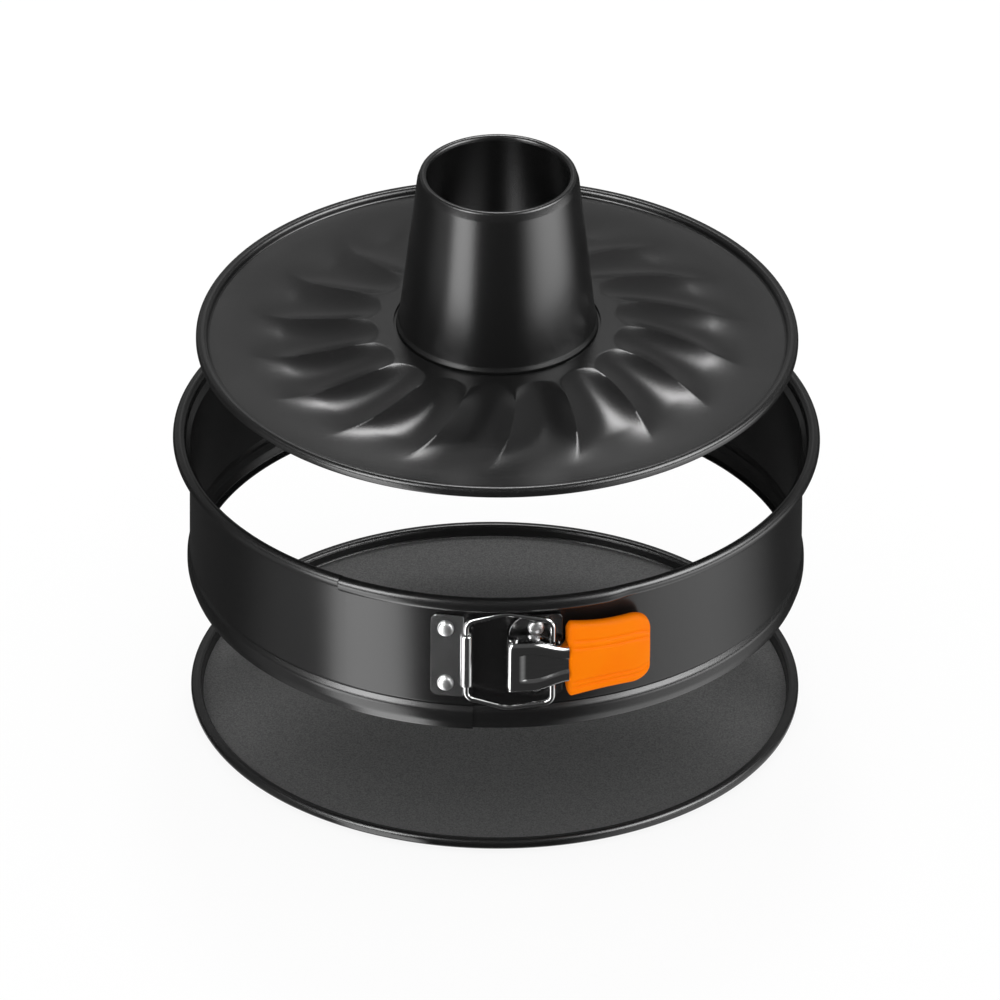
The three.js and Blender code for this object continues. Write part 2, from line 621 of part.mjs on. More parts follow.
function slotTool(side) {
  const along = wireEnd.clone().sub(pivot).normalize();
  const half = WIRE / 2 + WIRE_PLAY + SLOT_SIDE;
  const heading = Math.atan2(along.y, along.x);
  const inner = wireEnd.clone().addScaledVector(along, -SLOT_INWARD);
  const outer = wireEnd.clone().addScaledVector(along, SLOT_OUTWARD);
  const shape = new THREE.Shape();
  shape.absarc(inner.x, inner.y, half, heading + Math.PI / 2, heading + 1.5 * Math.PI);
  shape.absarc(outer.x, outer.y, half, heading - Math.PI / 2, heading + Math.PI / 2);
  shape.closePath();
  const low = side > 0 ? latchZ + PIN / 2 : latchZ - LEVER_HEIGHT;
  return plateInPlan(shape, low, low + LEVER_HEIGHT - PIN / 2);
}

function tangOutline(clearance) {
  const [inner, outer] = [gripMiddle - LEVER_SHEET / 2 - clearance, gripMiddle + LEVER_SHEET / 2 + clearance];
  const half = TANG_HEIGHT / 2 + clearance;
  return [[inner, latchZ - half], [outer, latchZ - half], [outer, latchZ + half], [inner, latchZ + half]];
}

function lever() {
  const channel = sweep((angle) => {
    const half = leverHalfHeight(angle);
    const back = leverFront - LEVER_DEPTH;
    const web = leverFront - LEVER_SHEET;
    const inside = half - LEVER_SHEET;
    return [
      [back, -half], [leverFront - LEVER_EDGE, -half], [leverFront, -half + LEVER_EDGE],
      [leverFront, half - LEVER_EDGE], [leverFront - LEVER_EDGE, half], [back, half],
      [back, inside], [web, inside], [web, -inside], [back, -inside],
    ].map(([r, z]) => [r, z + latchZ]);
  }, stations(LEVER_START_ANGLE, leverNeckAngle, ARC_STEP_ANGLE / 4));
  const tangStart = GRIP_START_ANGLE - TANG_BEND_ANGLE;
  const tangBend = TANG_BEND_ANGLE - 2 * flexGap;
  const tang = sweep((angle) => {
    const lift = (leverFront - LEVER_SHEET / 2 - gripMiddle) * (1 - smooth((angle - tangStart) / tangBend));
    return tangOutline(0).map(([r, z]) => [r + lift, z]);
  }, [
    ...stations(tangStart, GRIP_START_ANGLE - flexGap, TANG_STEP_ANGLE),
    ...stations(GRIP_START_ANGLE, TANG_END_ANGLE, ARC_STEP_ANGLE / 2),
  ]);
  const hole = uprightRod(PIN + 2 * HOLE_CLEARANCE, pivot, latchZ - LEVER_HEIGHT, latchZ + LEVER_HEIGHT);
  return cut(join(channel, tang), hole, slotTool(-1), slotTool(1));
}

function leverGrip() {
  const span = GRIP_END_ANGLE - GRIP_START_ANGLE;
  const outlineAt = (angle) => {
    const t = (angle - GRIP_START_ANGLE) / span;
    const tip = Math.sqrt(Math.max(1 - clamp01((t - 0.8) / 0.2) ** 2, 0));
    const start = Math.sqrt(1 - clamp01((0.05 - t) / 0.05) ** 2 * 0.3);
    const waist = Math.sin(Math.PI * clamp01(t / 0.8)) * GRIP_WAIST;
    const half = (mix(GRIP_HEIGHT, GRIP_TIP_HEIGHT, t) / 2 - waist) * start - (1 - tip) * GRIP_TIP_ROUND;
    const inner = WALL_RADIUS + GRIP_LIFT;
    const depth = GRIP_DEPTH * mix(0.75, 1, tip) * start;
    const outer = inner + depth;
    const bevel = depth * 0.35;
    const face = half - bevel;
    const groove = GRIP_GROOVE_DEPTH * mix(0.2, 1, tip * smooth(t / 0.1));
    const side = (GRIP_GROOVE_WIDTH * face) / GRIP_HEIGHT;
    const grooves = GRIP_GROOVES.flatMap((place) => [
      [outer, place * face - side], [outer - groove, place * face], [outer, place * face + side],
    ]);
    return [
      [inner, -half + bevel], [inner + bevel, -half], [outer - bevel, -half], [outer, -half + bevel],
      ...grooves,
      [outer, half - bevel], [outer - bevel, half], [inner + bevel, half], [inner, half - bevel],
    ].map(([r, z]) => [r, z + latchZ]);
  };
  const parts = [0, 0.025, 0.05, 0.25, 0.45, 0.65, 0.8, 0.89, 0.95, 0.985, 1];
  const body = sweep(outlineAt, parts.map((t) => GRIP_START_ANGLE + span * t));
  const reach = stations(GRIP_START_ANGLE - flexGap, TANG_END_ANGLE + flexGap, ARC_STEP_ANGLE / 2);
  const pocket = sweep(() => tangOutline(SEAM), reach);
  return cut(body, pocket);
}

// Wire loop: through the keeper's barrel, round the lever and into its two slots from above and below.
function wireLoop() {
  const span = wireEnd.clone().sub(barrelAxis);
  const across = span.length();
  const along = span.normalize();
  const upper = [
    [0, BARREL_LENGTH / 2, 0],
    [0, WIRE_CORNER_HEIGHT, WIRE_CORNER_RADIUS],
    [across * 0.46, WIRE_PEAK_HEIGHT, WIRE_PEAK_RADIUS],
    [across, WIRE_SIDE_HEIGHT, WIRE_CORNER_RADIUS],
    [across, leverHalfHeight(WIRE_END_ANGLE) - LEVER_SHEET - WIRE_TIP_REACH, 0],
  ];
  const corners = [...upper.slice().reverse(), ...upper.map(([x, z, r]) => [x, -z, r])];
  const points = roundedPath(corners, CORNER_STEPS).map((p) => {
    const point = barrelAxis.clone().addScaledVector(along, p.x);
    return point.setZ(latchZ + p.y);
  });
  return bar(points, WIRE, WIRE_SIDES);
}

const assembly = new THREE.Group();

function addPart(parent, name, geometry, look) {
  const mesh = new THREE.Mesh(geometry, new THREE.MeshStandardMaterial(look));
  mesh.name = name;
  parent.add(mesh);
}

const ring = new THREE.Group();
const tubeBase = new THREE.Group();
assembly.add(ring, tubeBase);

addPart(assembly, 'flat_base', flatBase(), coat);
addPart(ring, 'band_back', bandBack(), coat);
addPart(ring, 'band_left', bandLeft(), coat);
addPart(ring, 'band_right', bandRight(), coat);
addPart(ring, 'keeper_plate', keeperPlate(), steel);
addPart(ring, 'latch_bracket', latchBracket(), steel);
for (const [place, side] of [['lower', -1], ['upper', 1]]) {
  const keeperZ = latchZ + (side * KEEPER_RIVET_SPREAD) / 2;
  const keeperSeat = tongueRadius + SEAM + PLATE;
  const keeperTail = tongueRadius - SHEET;
  addPart(ring, `keeper_rivet_${place}`, rivet(keeperRivetAngle, keeperZ, keeperSeat, keeperTail, 0), steel);
  const bracketZ = latchZ + (side * BRACKET_RIVET_SPREAD) / 2;
  const bracketSeat = WALL_RADIUS + SEAM + PLATE;
  const bracketTail = WALL_RADIUS - SHEET - SEAM;
  const bracketRivet = rivet(BRACKET_ANGLE, bracketZ, bracketSeat, bracketTail, RIVET_TAIL);
  addPart(ring, `bracket_rivet_${place}`, bracketRivet, steel);
}
addPart(ring, 'lever_pivot_pin', leverPivotPin(), steel);
addPart(ring, 'lever', lever(), steel);
addPart(ring, 'lever_grip', leverGrip(), silicone);
addPart(ring, 'wire_loop', wireLoop(), steel);
addPart(tubeBase, 'tube_base_plate', tubeBasePlate(), coat);
addPart(tubeBase, 'tube', tube(), coat);

export default assembly;
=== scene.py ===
"""Looks of the springform pan: coated sheet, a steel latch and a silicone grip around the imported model.

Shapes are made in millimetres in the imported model's own frame: +Z up, the latch towards -Y.
Angles are degrees round the pan's axis, counted from the front towards +X.
"""
import json
import math

import bmesh
import bpy
import numpy as np
from mathutils import Matrix, Vector

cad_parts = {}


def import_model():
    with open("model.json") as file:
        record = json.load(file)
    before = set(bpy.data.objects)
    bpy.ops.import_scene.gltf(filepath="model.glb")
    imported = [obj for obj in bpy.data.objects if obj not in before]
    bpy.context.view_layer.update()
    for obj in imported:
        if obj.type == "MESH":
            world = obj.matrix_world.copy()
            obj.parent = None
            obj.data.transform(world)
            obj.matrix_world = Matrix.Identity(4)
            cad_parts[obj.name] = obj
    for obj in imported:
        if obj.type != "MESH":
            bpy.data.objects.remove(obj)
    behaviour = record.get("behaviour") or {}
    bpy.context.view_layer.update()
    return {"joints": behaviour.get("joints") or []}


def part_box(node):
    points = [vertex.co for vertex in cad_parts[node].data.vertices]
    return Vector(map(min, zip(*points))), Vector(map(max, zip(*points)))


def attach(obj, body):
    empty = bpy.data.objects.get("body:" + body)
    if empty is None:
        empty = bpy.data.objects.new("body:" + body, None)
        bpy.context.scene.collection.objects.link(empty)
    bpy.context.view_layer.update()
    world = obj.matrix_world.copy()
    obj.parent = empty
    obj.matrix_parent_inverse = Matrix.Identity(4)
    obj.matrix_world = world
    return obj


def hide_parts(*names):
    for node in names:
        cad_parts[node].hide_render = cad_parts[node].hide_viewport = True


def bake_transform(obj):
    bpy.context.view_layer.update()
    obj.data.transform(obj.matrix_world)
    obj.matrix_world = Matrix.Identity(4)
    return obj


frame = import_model()

MM = 0.001


def box_mm(node):
    """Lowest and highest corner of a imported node, in millimetres."""
    low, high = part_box(node)
    return np.array(low) / MM, np.array(high) / MM


def joint_mm(name):
    """Place of a joint, in millimetres."""
    joint = next(j for j in frame["joints"] if j["name"] == name)
    return np.array(joint["pos_m"]) / MM


# Ring band
SHEET = 0.7
LAYER_GAP = 0.35
RIM_REACH = 7.2
RIM_HEIGHT = 5.0
RIM_SWELL_DROP = 0.7
ROLL_RADIUS = 2.4
ROLL_SWELL = 0.45
ROLL_TURNS = np.radians(np.linspace(0, 285, 40))  # from the inside over the top and round underneath
ROLL_BEND = 1.2
NECK_DROP = 6.2  # the wall turns out towards the roll, this far below the top
NECK_BEND = 1.8
NECK_RISE = 1.3
SWELL_FADE_ANGLE = 20.0
SWELL_END_ANGLE = 25.0
LIP_REACH = 3.0
BEAD_HEIGHT = 11.6
BEAD_FOOT = ((-0.4, 0.0, 0.9), (1.0, 4.0, 5.0))  # out from the wall, up from the underside, bend
BEAD_CREASE = ((1.0, -3.0, 3.4), (-1.0, -0.6, 0.4), (0.0, 1.0, 0.8))  # the same, up from the crease
OVERLAP_END_ANGLE = -28.7
TONGUE_END_ANGLE = -4.0
TONGUE_JOIN_ANGLE = 1.5
TONGUE_INSET = 0.03
SPIRAL_START_ANGLE = -75.0
END_GAP_ANGLE = 0.25
LEFT_RINGS = 181
TONGUE_RINGS = 40
RIGHT_RINGS = 241
RING_LOW = box_mm("band_back")[0][2]
RING_HIGH = box_mm("band_back")[1][2]
WALL_RADIUS = box_mm("band_back")[1][1] - RIM_REACH
LAYER_STEP = SHEET + LAYER_GAP
TONGUE_RADIUS = WALL_RADIUS + LAYER_STEP

# Bases
BASE_SHEET = 0.8
BASE_RIM_WIDTH = 4.3
BASE_WALL_RUN = 0.3
BASE_FOOT_BEND = 1.5
BASE_CREST_BENDS = (1.5, 1.9)
BASE_CURL_BEND = 1.3
BASE_CURL_REACH = 1.9
BASE_STEP_ANGLE = 1.25
RIM_STEPS = 8  # points in each bend of a rim
# The flat base's matt face inside this margin carries painted light: a lighter tone in place of the
# reflection that the ring blocks.
MATT_PAINTED_LIGHT_MARGIN = 1.0  # from the rim to the matt face of the flat base
FLAT_CURL = 3.4
TUBE_PLATE_CURL = 3.5
TUBE_RIM_RISE = 3.2
FLAT_RADIUS = box_mm("flat_base")[1][0]
FLAT_HEIGHT = box_mm("flat_base")[1][2]
PLATE_RADIUS = box_mm("tube_base_plate")[1][0]
HUB_TOP = box_mm("tube_base_plate")[1][2]

# Flutes and tube
FLUTES = 18
FLUTE_START_ANGLE = 8.2
FLUTE_SWIRL_ANGLE = 11.0
HUB_RISE = 8.5
HUB_RADIUS = 51.0
SCALLOP = 4.0
RIDGE_END = 111.0
RIDGE_FALL = 2.4  # how quickly a ridge and a scoop run out into the panel
SCOOP_END = 92.0
SCOOP_FALL = 1.5
SCOOP_RUNOUT = 4.0
SWIRL_BEND = 1.5
FLUTE_RINGS = 32
PANEL_START = 1.0  # from the ridges' end to the flat panel
TUBE_TOP = box_mm("tube")[1][2]
TUBE_TOP_RADIUS = 34.3
TUBE_FOOT_RADIUS = 43.0
TUBE_SEAM = 1.2
TUBE_FLANGE = 3.4
TUBE_SHOULDER = 3.6
TUBE_LIP = 3.3
TUBE_STEP_ANGLE = 2.5
PANEL = HUB_TOP - HUB_RISE

# Latch
SEAM = 0.3
PLATE = 1.0
PLATE_HEIGHT = 40.0
KEEPER_ANGLE = -8.6
KEEPER_WIDTH = 15.7
KEEPER_RIVET_ANGLE = -9.0
KEEPER_RIVET_SPREAD = 27.0
KEEPER_EDGE = 1.5  # from the plate's edge to the barrel's axis
KEEPER_BENDS = (3.0, 1.0)
BARREL_WALL = 0.85
BARREL_LENGTH = 25.0
BARREL_TURNS = np.radians(np.arange(-90, 206, 8))
BARREL_TAIL = (4.5, 2.4)
BRACKET_ANGLE = 7.5
BRACKET_WIDTH = 23.0
BRACKET_NOSE = 9.0
BRACKET_BEND = 2.5
BRACKET_RIVET_SPREAD = 28.0
EAR = 1.2
EAR_REACH = 10.5
EAR_EDGE = 1.3
EAR_BEND = 2.6
EAR_FOOT_BEND = 0.2
EAR_FOOT_STEP = 0.6
PIN = 3.0
PIN_HEAD = ((2.3, 0.0), (2.3, 0.45), (1.7, 0.8), (0, 0.8))  # radius, height over the flange
WIRE = 2.8
WIRE_PLAY = 0.35
WIRE_SEEN = 2.5
WIRE_CORNER_HEIGHT = 18.6
WIRE_PEAK_HEIGHT = 23.4
WIRE_SIDE_HEIGHT = 20.0
WIRE_PEAK_SHARE = 0.46
WIRE_BEND = 4.0
WIRE_PEAK_BEND = 12.0
WIRE_END_ANGLE = 10.2
WIRE_END_LIFT = 7.0
WIRE_END_SHORT = 1.8
LEVER_START_ANGLE = 2.1
LEVER_TAPER_ANGLE = 6.3
LEVER_HEIGHT = 24.0
LEVER_NECK = 17.0
LEVER_SHEET = 1.1
LEVER_LIFT = 4.0
LEVER_DEPTH = 7.8
LEVER_NOSE_ANGLE = 1.2
LEVER_NOSE_DROP = 2.6
LEVER_NOSE_TAPER = 1.4
LEVER_BEND = 1.5
LEVER_RECESS = 1.3
LEVER_RECESS_START_ANGLE = 3.6
LEVER_RECESS_RUN_ANGLE = 2.2
LEVER_RECESS_EDGE = 5.2
LEVER_RECESS_BEND = 0.8
LEVER_RECESS_LEAST = 0.02
SLOT_INWARD = 3.1
SLOT_OUTWARD = 1.0
SLOT_SIDE = 0.7
SLOT_CLEAR = 3.0  # the cutter's distance from the latch's middle
GRIP_START_ANGLE = 12.9
GRIP_END_ANGLE = 28.2
GRIP_HEIGHT = 37.0
GRIP_TIP_HEIGHT = 32.4
GRIP_LIFT = 2.6
GRIP_DEPTH = 7.2
GRIP_WAIST = 0.9
GRIP_START_SHARE = 0.05  # shares of the grip's length that its two ends are rounded over
GRIP_TIP_SHARE = 0.2
GRIP_START_ROUND = 0.3
GRIP_TIP_DEPTH = 0.75
GRIP_BEND = 0.42
GRIP_BEND_STEPS = 10
GRIP_FACE_POINTS = 90
GRIP_TIP_ROUND = 5.0
GRIP_CROWN = 1.1
GRIP_GROOVE_WIDTH = 2.4
GRIP_GROOVE_DEPTH = 0.8
GRIP_GROOVES = (-0.88, -0.7, 0.42, 0.66)
RIVET_HEAD = 7.0
RIVET_DOME = 2.0
RIVET_FULLNESS = 0.8
RIVET_SHANK = 1.6
LATCH_Z = (box_mm("latch_bracket")[0][2] + box_mm("latch_bracket")[1][2]) / 2
PIVOT = joint_mm("lever_swing")
BARREL_AXIS = joint_mm("wire_swing")

# Meshes
SHARP_ANGLE = 35.0  # edges over this are shown sharp
BEVEL_ANGLE = 50.0  # edges over this are bevelled where a piece has a bevel

# Camera
VIEW_ELEVATION = 31.6
VIEW_ROLL = 0.4
VIEW_DISTANCE = 12.0
VIEW_WIDTH = 0.4268  # metres across the picture at the pan's axis
VIEW_AIM = (0.0017, 0.0, 0.0962)
SENSOR = 36.0


# Shapes

def mix(a, b, t):
    """From a at t = 0 to b at t = 1."""
    return a + (b - a) * t


def ease(t):
    """A smooth step from 0 to 1."""
    t = np.clip(t, 0, 1)
    return t * t * (3 - 2 * t)


def polar(radius, degrees, z=0.0):
    """A place round the pan's axis."""
    turn = math.radians(degrees)
    return np.array([radius * math.sin(turn), -radius * math.cos(turn), z])


def rounded(corners, steps=6, closed=False):
    """A line through (x, y, bend radius) corners, each bend an arc."""
    places = [np.array(c[:2], float) for c in corners]
    line = []
    for i, (here, radius) in enumerate(zip(places, (c[2] for c in corners))):
        if not closed and i in (0, len(corners) - 1):
            line.append(here)
            continue
        back = places[i - 1] - here
        ahead = places[(i + 1) % len(places)] - here
        reach = 0.49 * min(np.linalg.norm(back), np.linalg.norm(ahead))
        back /= np.linalg.norm(back)
        ahead /= np.linalg.norm(ahead)
        half = math.acos(np.clip(back @ ahead, -1, 1)) / 2
        if radius == 0 or half > math.pi / 2 - 0.001:
            line.extend([here] * (steps + 1))
            continue
        radius = min(radius, reach * math.tan(half))
        centre = here + (back + ahead) / np.linalg.norm(back + ahead) * radius / math.sin(half)
        start = here + back * radius / math.tan(half) - centre
        stop = here + ahead * radius / math.tan(half) - centre
        sweep_angle = math.atan2(start[0] * stop[1] - start[1] * stop[0], start @ stop)
        for k in range(steps + 1):
            turn = sweep_angle * k / steps
            cos, sin = math.cos(turn), math.sin(turn)
            spoke = [start[0] * cos - start[1] * sin, start[0] * sin + start[1] * cos]
            line.append(centre + np.array(spoke))
    return np.array(line)


def sheet(line, thickness):
    """The two faces of a bent sheet, as one closed outline round its middle line."""
    steps = np.diff(line, axis=0)
    lengths = np.linalg.norm(steps, axis=1, keepdims=True)
    steps = steps / np.maximum(lengths, 1e-9)
    for i in range(1, len(steps)):
        if lengths[i, 0] < 1e-9:
            steps[i] = steps[i - 1]
    before = np.vstack([steps[:1], steps])
    after = np.vstack([steps, steps[-1:]])
    tangent = before + after
    tangent /= np.linalg.norm(tangent, axis=1, keepdims=True)
    spread = np.sum(tangent * after, axis=1, keepdims=True)
    normal = np.column_stack([-tangent[:, 1], tangent[:, 0]]) / np.maximum(spread, 0.5)
    return np.vstack([line + normal * thickness / 2, (line - normal * thickness / 2)[::-1]])


def strip_faces(rings, count, closed, capped=True):
    """Faces between rings of points; an open run gets end faces across its sheet."""
    faces = []
    for i in range(rings if closed else rings - 1):
        near, far = i * count, ((i + 1) % rings) * count
        for j in range(count):
            k = (j + 1) % count
            faces.append((near + j, far + j, far + k, near + k))
    if not closed and capped:
        for base in (0, (rings - 1) * count):
            for j in range(count // 2 - 1):
                faces.append((base + j, base + j + 1, base + count - 2 - j, base + count - 1 - j))
    return faces


def sweep(outline_at, angles, closed=False, twist=None):
    """Carries a closed outline of (radius, height) points round the axis."""
    rings = []
    for angle in angles:
        outline = np.asarray(outline_at(angle))
        turn = np.radians(angle + (twist(outline[:, 0]) if twist else 0.0))
        radius, height = outline.T
        rings.append(np.column_stack([radius * np.sin(turn), -radius * np.cos(turn), height]))
    return np.vstack(rings), strip_faces(len(rings), len(rings[0]), closed)


def joined(*parts):
    """Several (points, faces) shapes as one."""
    points, faces, offset = [], [], 0
    for some_points, some_faces in parts:
        points.append(np.asarray(some_points))
        faces.extend(tuple(i + offset for i in face) for face in some_faces)
        offset += len(some_points)
    return np.vstack(points), faces


def rod(path, diameter, sides=24):
    """A round bar along a path, with flat ends."""
    path = np.asarray(path, float)
    tangents = np.gradient(path, axis=0)
    tangents /= np.linalg.norm(tangents, axis=1, keepdims=True)
    normal = np.cross(tangents[0], (0.0, -1.0, 0.05))
    points = []
    for point, tangent in zip(path, tangents):
        normal = normal - tangent * (normal @ tangent)
        normal /= np.linalg.norm(normal)
        other = np.cross(tangent, normal)
        for k in range(sides):
            a = 2 * math.pi * k / sides
            points.append(point + (normal * math.cos(a) + other * math.sin(a)) * diameter / 2)
    faces = strip_faces(len(path), sides, False, capped=False)
    faces.append(tuple(range(sides)))
    faces.append(tuple(range((len(path) - 1) * sides, len(path) * sides)))
    return np.array(points), faces


def turned(profile, origin, axis, sides=40):
    """A round solid from (radius, height) points along an axis."""
    axis = np.array(axis, float) / np.linalg.norm(axis)
    side = np.cross(axis, (0.0, 0.0, 1.0) if abs(axis[2]) < 0.9 else (1.0, 0.0, 0.0))
    side /= np.linalg.norm(side)
    other = np.cross(axis, side)
    points = []
    for k in range(sides):
        a = 2 * math.pi * k / sides
        out = side * math.cos(a) + other * math.sin(a)
        points.extend(origin + out * r + axis * h for r, h in profile)
    return np.array(points), strip_faces(sides, len(profile), True)


def on_ring(degrees, radius):
    """A frame on the ring: along the band, up, and outwards."""
    along = polar(1, degrees + 90)
    return np.column_stack([along, (0, 0, 1), polar(1, degrees)]), polar(radius, degrees, LATCH_Z)


def plate(outline, thickness, place):
    """A flat plate cut to an outline (along, up) and laid on a frame of the ring."""
    axes, origin = place
    outline = np.asarray(outline)
    count = len(outline)
    levels = [np.column_stack([outline, np.full(count, h)]) for h in (0.0, thickness)]
    points = np.vstack(levels) @ axes.T + origin
    faces = [tuple(range(count)), tuple(range(count, 2 * count))]
    faces += [(j, (j + 1) % count, count + (j + 1) % count, count + j) for j in range(count)]
    return points, faces


def add_piece(name, shape, material, nodes, body=None, bevel=0.0, sharp=SHARP_ANGLE):
    """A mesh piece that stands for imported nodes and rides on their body."""
    points, faces = shape
    mesh = bpy.data.meshes.new(name)
    mesh.from_pydata((np.asarray(points) * MM).tolist(), [], faces)
    work = bmesh.new()
    work.from_mesh(mesh)
    bmesh.ops.remove_doubles(work, verts=work.verts, dist=1e-6)
    bmesh.ops.dissolve_degenerate(work, edges=work.edges, dist=1e-7)
    bmesh.ops.recalc_face_normals(work, faces=work.faces)
    if bevel:
        sharpest = math.radians(BEVEL_ANGLE)
        edges = [e for e in work.edges if e.is_manifold and e.calc_face_angle() > sharpest]
        bmesh.ops.bevel(work, geom=edges, offset=bevel * MM, segments=3, affect="EDGES", clamp_overlap=True)
    work.to_mesh(mesh)
    work.free()
    mesh.shade_smooth()
    mesh.set_sharp_from_angle(angle=math.radians(sharp))
    mesh.materials.append(material)
    piece = bpy.data.objects.new(name, mesh)
    bpy.context.scene.collection.objects.link(piece)
    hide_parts(*nodes)
    if body:
        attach(piece, body)
    return piece


# Materials

NOISE_LOW, NOISE_HIGH = 0.3, 0.7  # the part of a noise's range that its ramp spans
COAT_GRAIN = 1900.0  # noise scales count to the metre
COAT_CLOUD = 25.0
COAT_SPECKLE = 0.3
COAT_BUMP = 0.00003
STEEL_GRAIN = (120.0, 120.0, 2600.0)
STEEL_CLOUD = 180.0
STEEL_BUMP = 0.0001
SILICONE_GRAIN = 1600.0
SILICONE_CLOUD = 60.0
SILICONE_BUMP = 0.0002
SILICONE_TONES = ((1.0, 0.2, 0.0, 1), (1.0, 0.225, 0.0, 1))
SILICONE_ROUGHNESS = (0.42, 0.52)
SILICONE_SPECULAR = 0.03


class Nodes:
    """Short way to write a node tree."""

    def __init__(self, tree):
        self.tree = tree
        tree.nodes.clear()

    def add(self, kind, settings=None, **inputs):
        node = self.tree.nodes.new(kind)
        for key, value in (settings or {}).items():
            setattr(node, key, value)
        for key, value in inputs.items():
            self.set(node, key.replace("_", " "), value)
        return node

    def set(self, node, socket, value):
        target = node.inputs[socket]
        if isinstance(value, bpy.types.NodeSocket):
            self.tree.links.new(value, target)
        else:
            target.default_value = value

    def ramp(self, value, stops):
        """A colour ramp through (place, tone) stops."""
        stops = list(stops)
        node = self.add("ShaderNodeValToRGB", Fac=value)
        elements = node.color_ramp.elements
        while len(elements) < len(stops):
            elements.new(0.5)
        for element, (place, tone) in zip(elements, stops):
            element.position = place
            element.color = tone if isinstance(tone, tuple) else (tone, tone, tone, 1)
        return node.outputs["Color"]

    def scaled(self, value, low, high):
        node = self.add("ShaderNodeMapRange", Value=value)
        node.inputs["To Min"].default_value = low
        node.inputs["To Max"].default_value = high
        return node.outputs["Result"]


def new_material(name):
    """An empty node material, its output and the place on the object."""
    material = bpy.data.materials.new(name)
    material.use_nodes = True
    nodes = Nodes(material.node_tree)
    output = nodes.add("ShaderNodeOutputMaterial")
    place = nodes.add("ShaderNodeTexCoord").outputs["Object"]
    return material, nodes, output, place


def coat_material(name, tone, roughness, specular):
    """Graphite non-stick coat: near black, satin, with a fine metallic grain."""
    material, nodes, output, place = new_material(name)
    grain = nodes.add("ShaderNodeTexNoise", Vector=place, Scale=COAT_GRAIN, Detail=1.0)
    cloud = nodes.add("ShaderNodeTexNoise", Vector=place, Scale=COAT_CLOUD, Detail=2.0)
    tones = tone * (1 - COAT_SPECKLE), tone * (1 + COAT_SPECKLE)
    shade = nodes.ramp(grain.outputs["Fac"], zip((NOISE_LOW, NOISE_HIGH), tones))
    bump = nodes.add("ShaderNodeBump", Strength=1.0, Distance=COAT_BUMP, Height=grain.outputs["Fac"])
    shader = nodes.add("ShaderNodeBsdfPrincipled", Base_Color=shade, Normal=bump.outputs["Normal"])
    nodes.set(shader, "Roughness", nodes.scaled(cloud.outputs["Fac"], roughness * 0.9, roughness * 1.1))
    nodes.set(shader, "Specular IOR Level", specular)
    nodes.set(output, "Surface", shader.outputs["BSDF"])
    return material


def steel_material(name, tone, roughness, bump_strength):
    """Stainless steel with a fine grain along the band."""
    material, nodes, output, place = new_material(name)
    stretch = nodes.add("ShaderNodeMapping", Vector=place, Scale=STEEL_GRAIN)
    grain = nodes.add("ShaderNodeTexNoise", Vector=stretch.outputs["Vector"], Scale=1.0, Detail=4.0)
    cloud = nodes.add("ShaderNodeTexNoise", Vector=place, Scale=STEEL_CLOUD, Detail=2.0)
    height = grain.outputs["Fac"]
    bump = nodes.add("ShaderNodeBump", Strength=bump_strength, Distance=STEEL_BUMP, Height=height)
    shader = nodes.add("ShaderNodeBsdfPrincipled", Metallic=1.0, Normal=bump.outputs["Normal"])
    nodes.set(shader, "Base Color", nodes.ramp(height, [(NOISE_LOW, tone * 0.9), (NOISE_HIGH, tone)]))
    nodes.set(shader, "Roughness", nodes.scaled(cloud.outputs["Fac"], roughness * 0.8, roughness * 1.2))
    nodes.set(output, "Surface", shader.outputs["BSDF"])
    return material


def silicone_material():
    """Orange silicone: matt with a soft sheen."""
    material, nodes, output, place = new_material("grip_silicone")
    grain = nodes.add("ShaderNodeTexNoise", Vector=place, Scale=SILICONE_GRAIN, Detail=2.0)
    cloud = nodes.add("ShaderNodeTexNoise", Vector=place, Scale=SILICONE_CLOUD, Detail=2.0)
    tone = nodes.ramp(cloud.outputs["Fac"], zip((NOISE_LOW, NOISE_HIGH), SILICONE_TONES))
    bump = nodes.add("ShaderNodeBump", Strength=0.06, Distance=SILICONE_BUMP, Height=grain.outputs["Fac"])
    shader = nodes.add("ShaderNodeBsdfPrincipled", Base_Color=tone, Normal=bump.outputs["Normal"])
    nodes.set(shader, "Roughness", nodes.scaled(grain.outputs["Fac"], *SILICONE_ROUGHNESS))
    nodes.set(shader, "Specular IOR Level", SILICONE_SPECULAR)
    nodes.set(output, "Surface", shader.outputs["BSDF"])
    return material


COAT = coat_material("nonstick_coat", 0.008, 0.24, 0.4)
# The fluted base's coat is a slightly lighter copy of the coat: painted light that lifts the shaded sides of
# the scoops.
PLATE_COAT_PAINTED_LIGHT = coat_material("plate_coat_painted_light", 0.009, 0.24, 0.4)
# The matt coat is rougher and less glossy than the coat. Its much lighter tone is painted light, in place of
# the reflection and light that the ring above keeps off the flat base's panel.
MATT_COAT_PAINTED_LIGHT = coat_material("matt_coat_painted_light", 0.095, 0.45, 0.06)
BRIGHT_STEEL = steel_material("polished_steel", 0.5, 0.12, 0.02)
SATIN_STEEL = steel_material("satin_steel", 0.58, 0.2, 0.05)
# The bracket's steel is a darker copy of the steel: painted shade for where the bracket sits under the lever.
PAINTED_SHADE_STEEL = steel_material("painted_shade_steel", 0.2, 0.25, 0.05)
RIVET_STEEL = steel_material("rivet_steel", 0.6, 0.38, 0.05)
SILICONE = silicone_material()


# Ring band

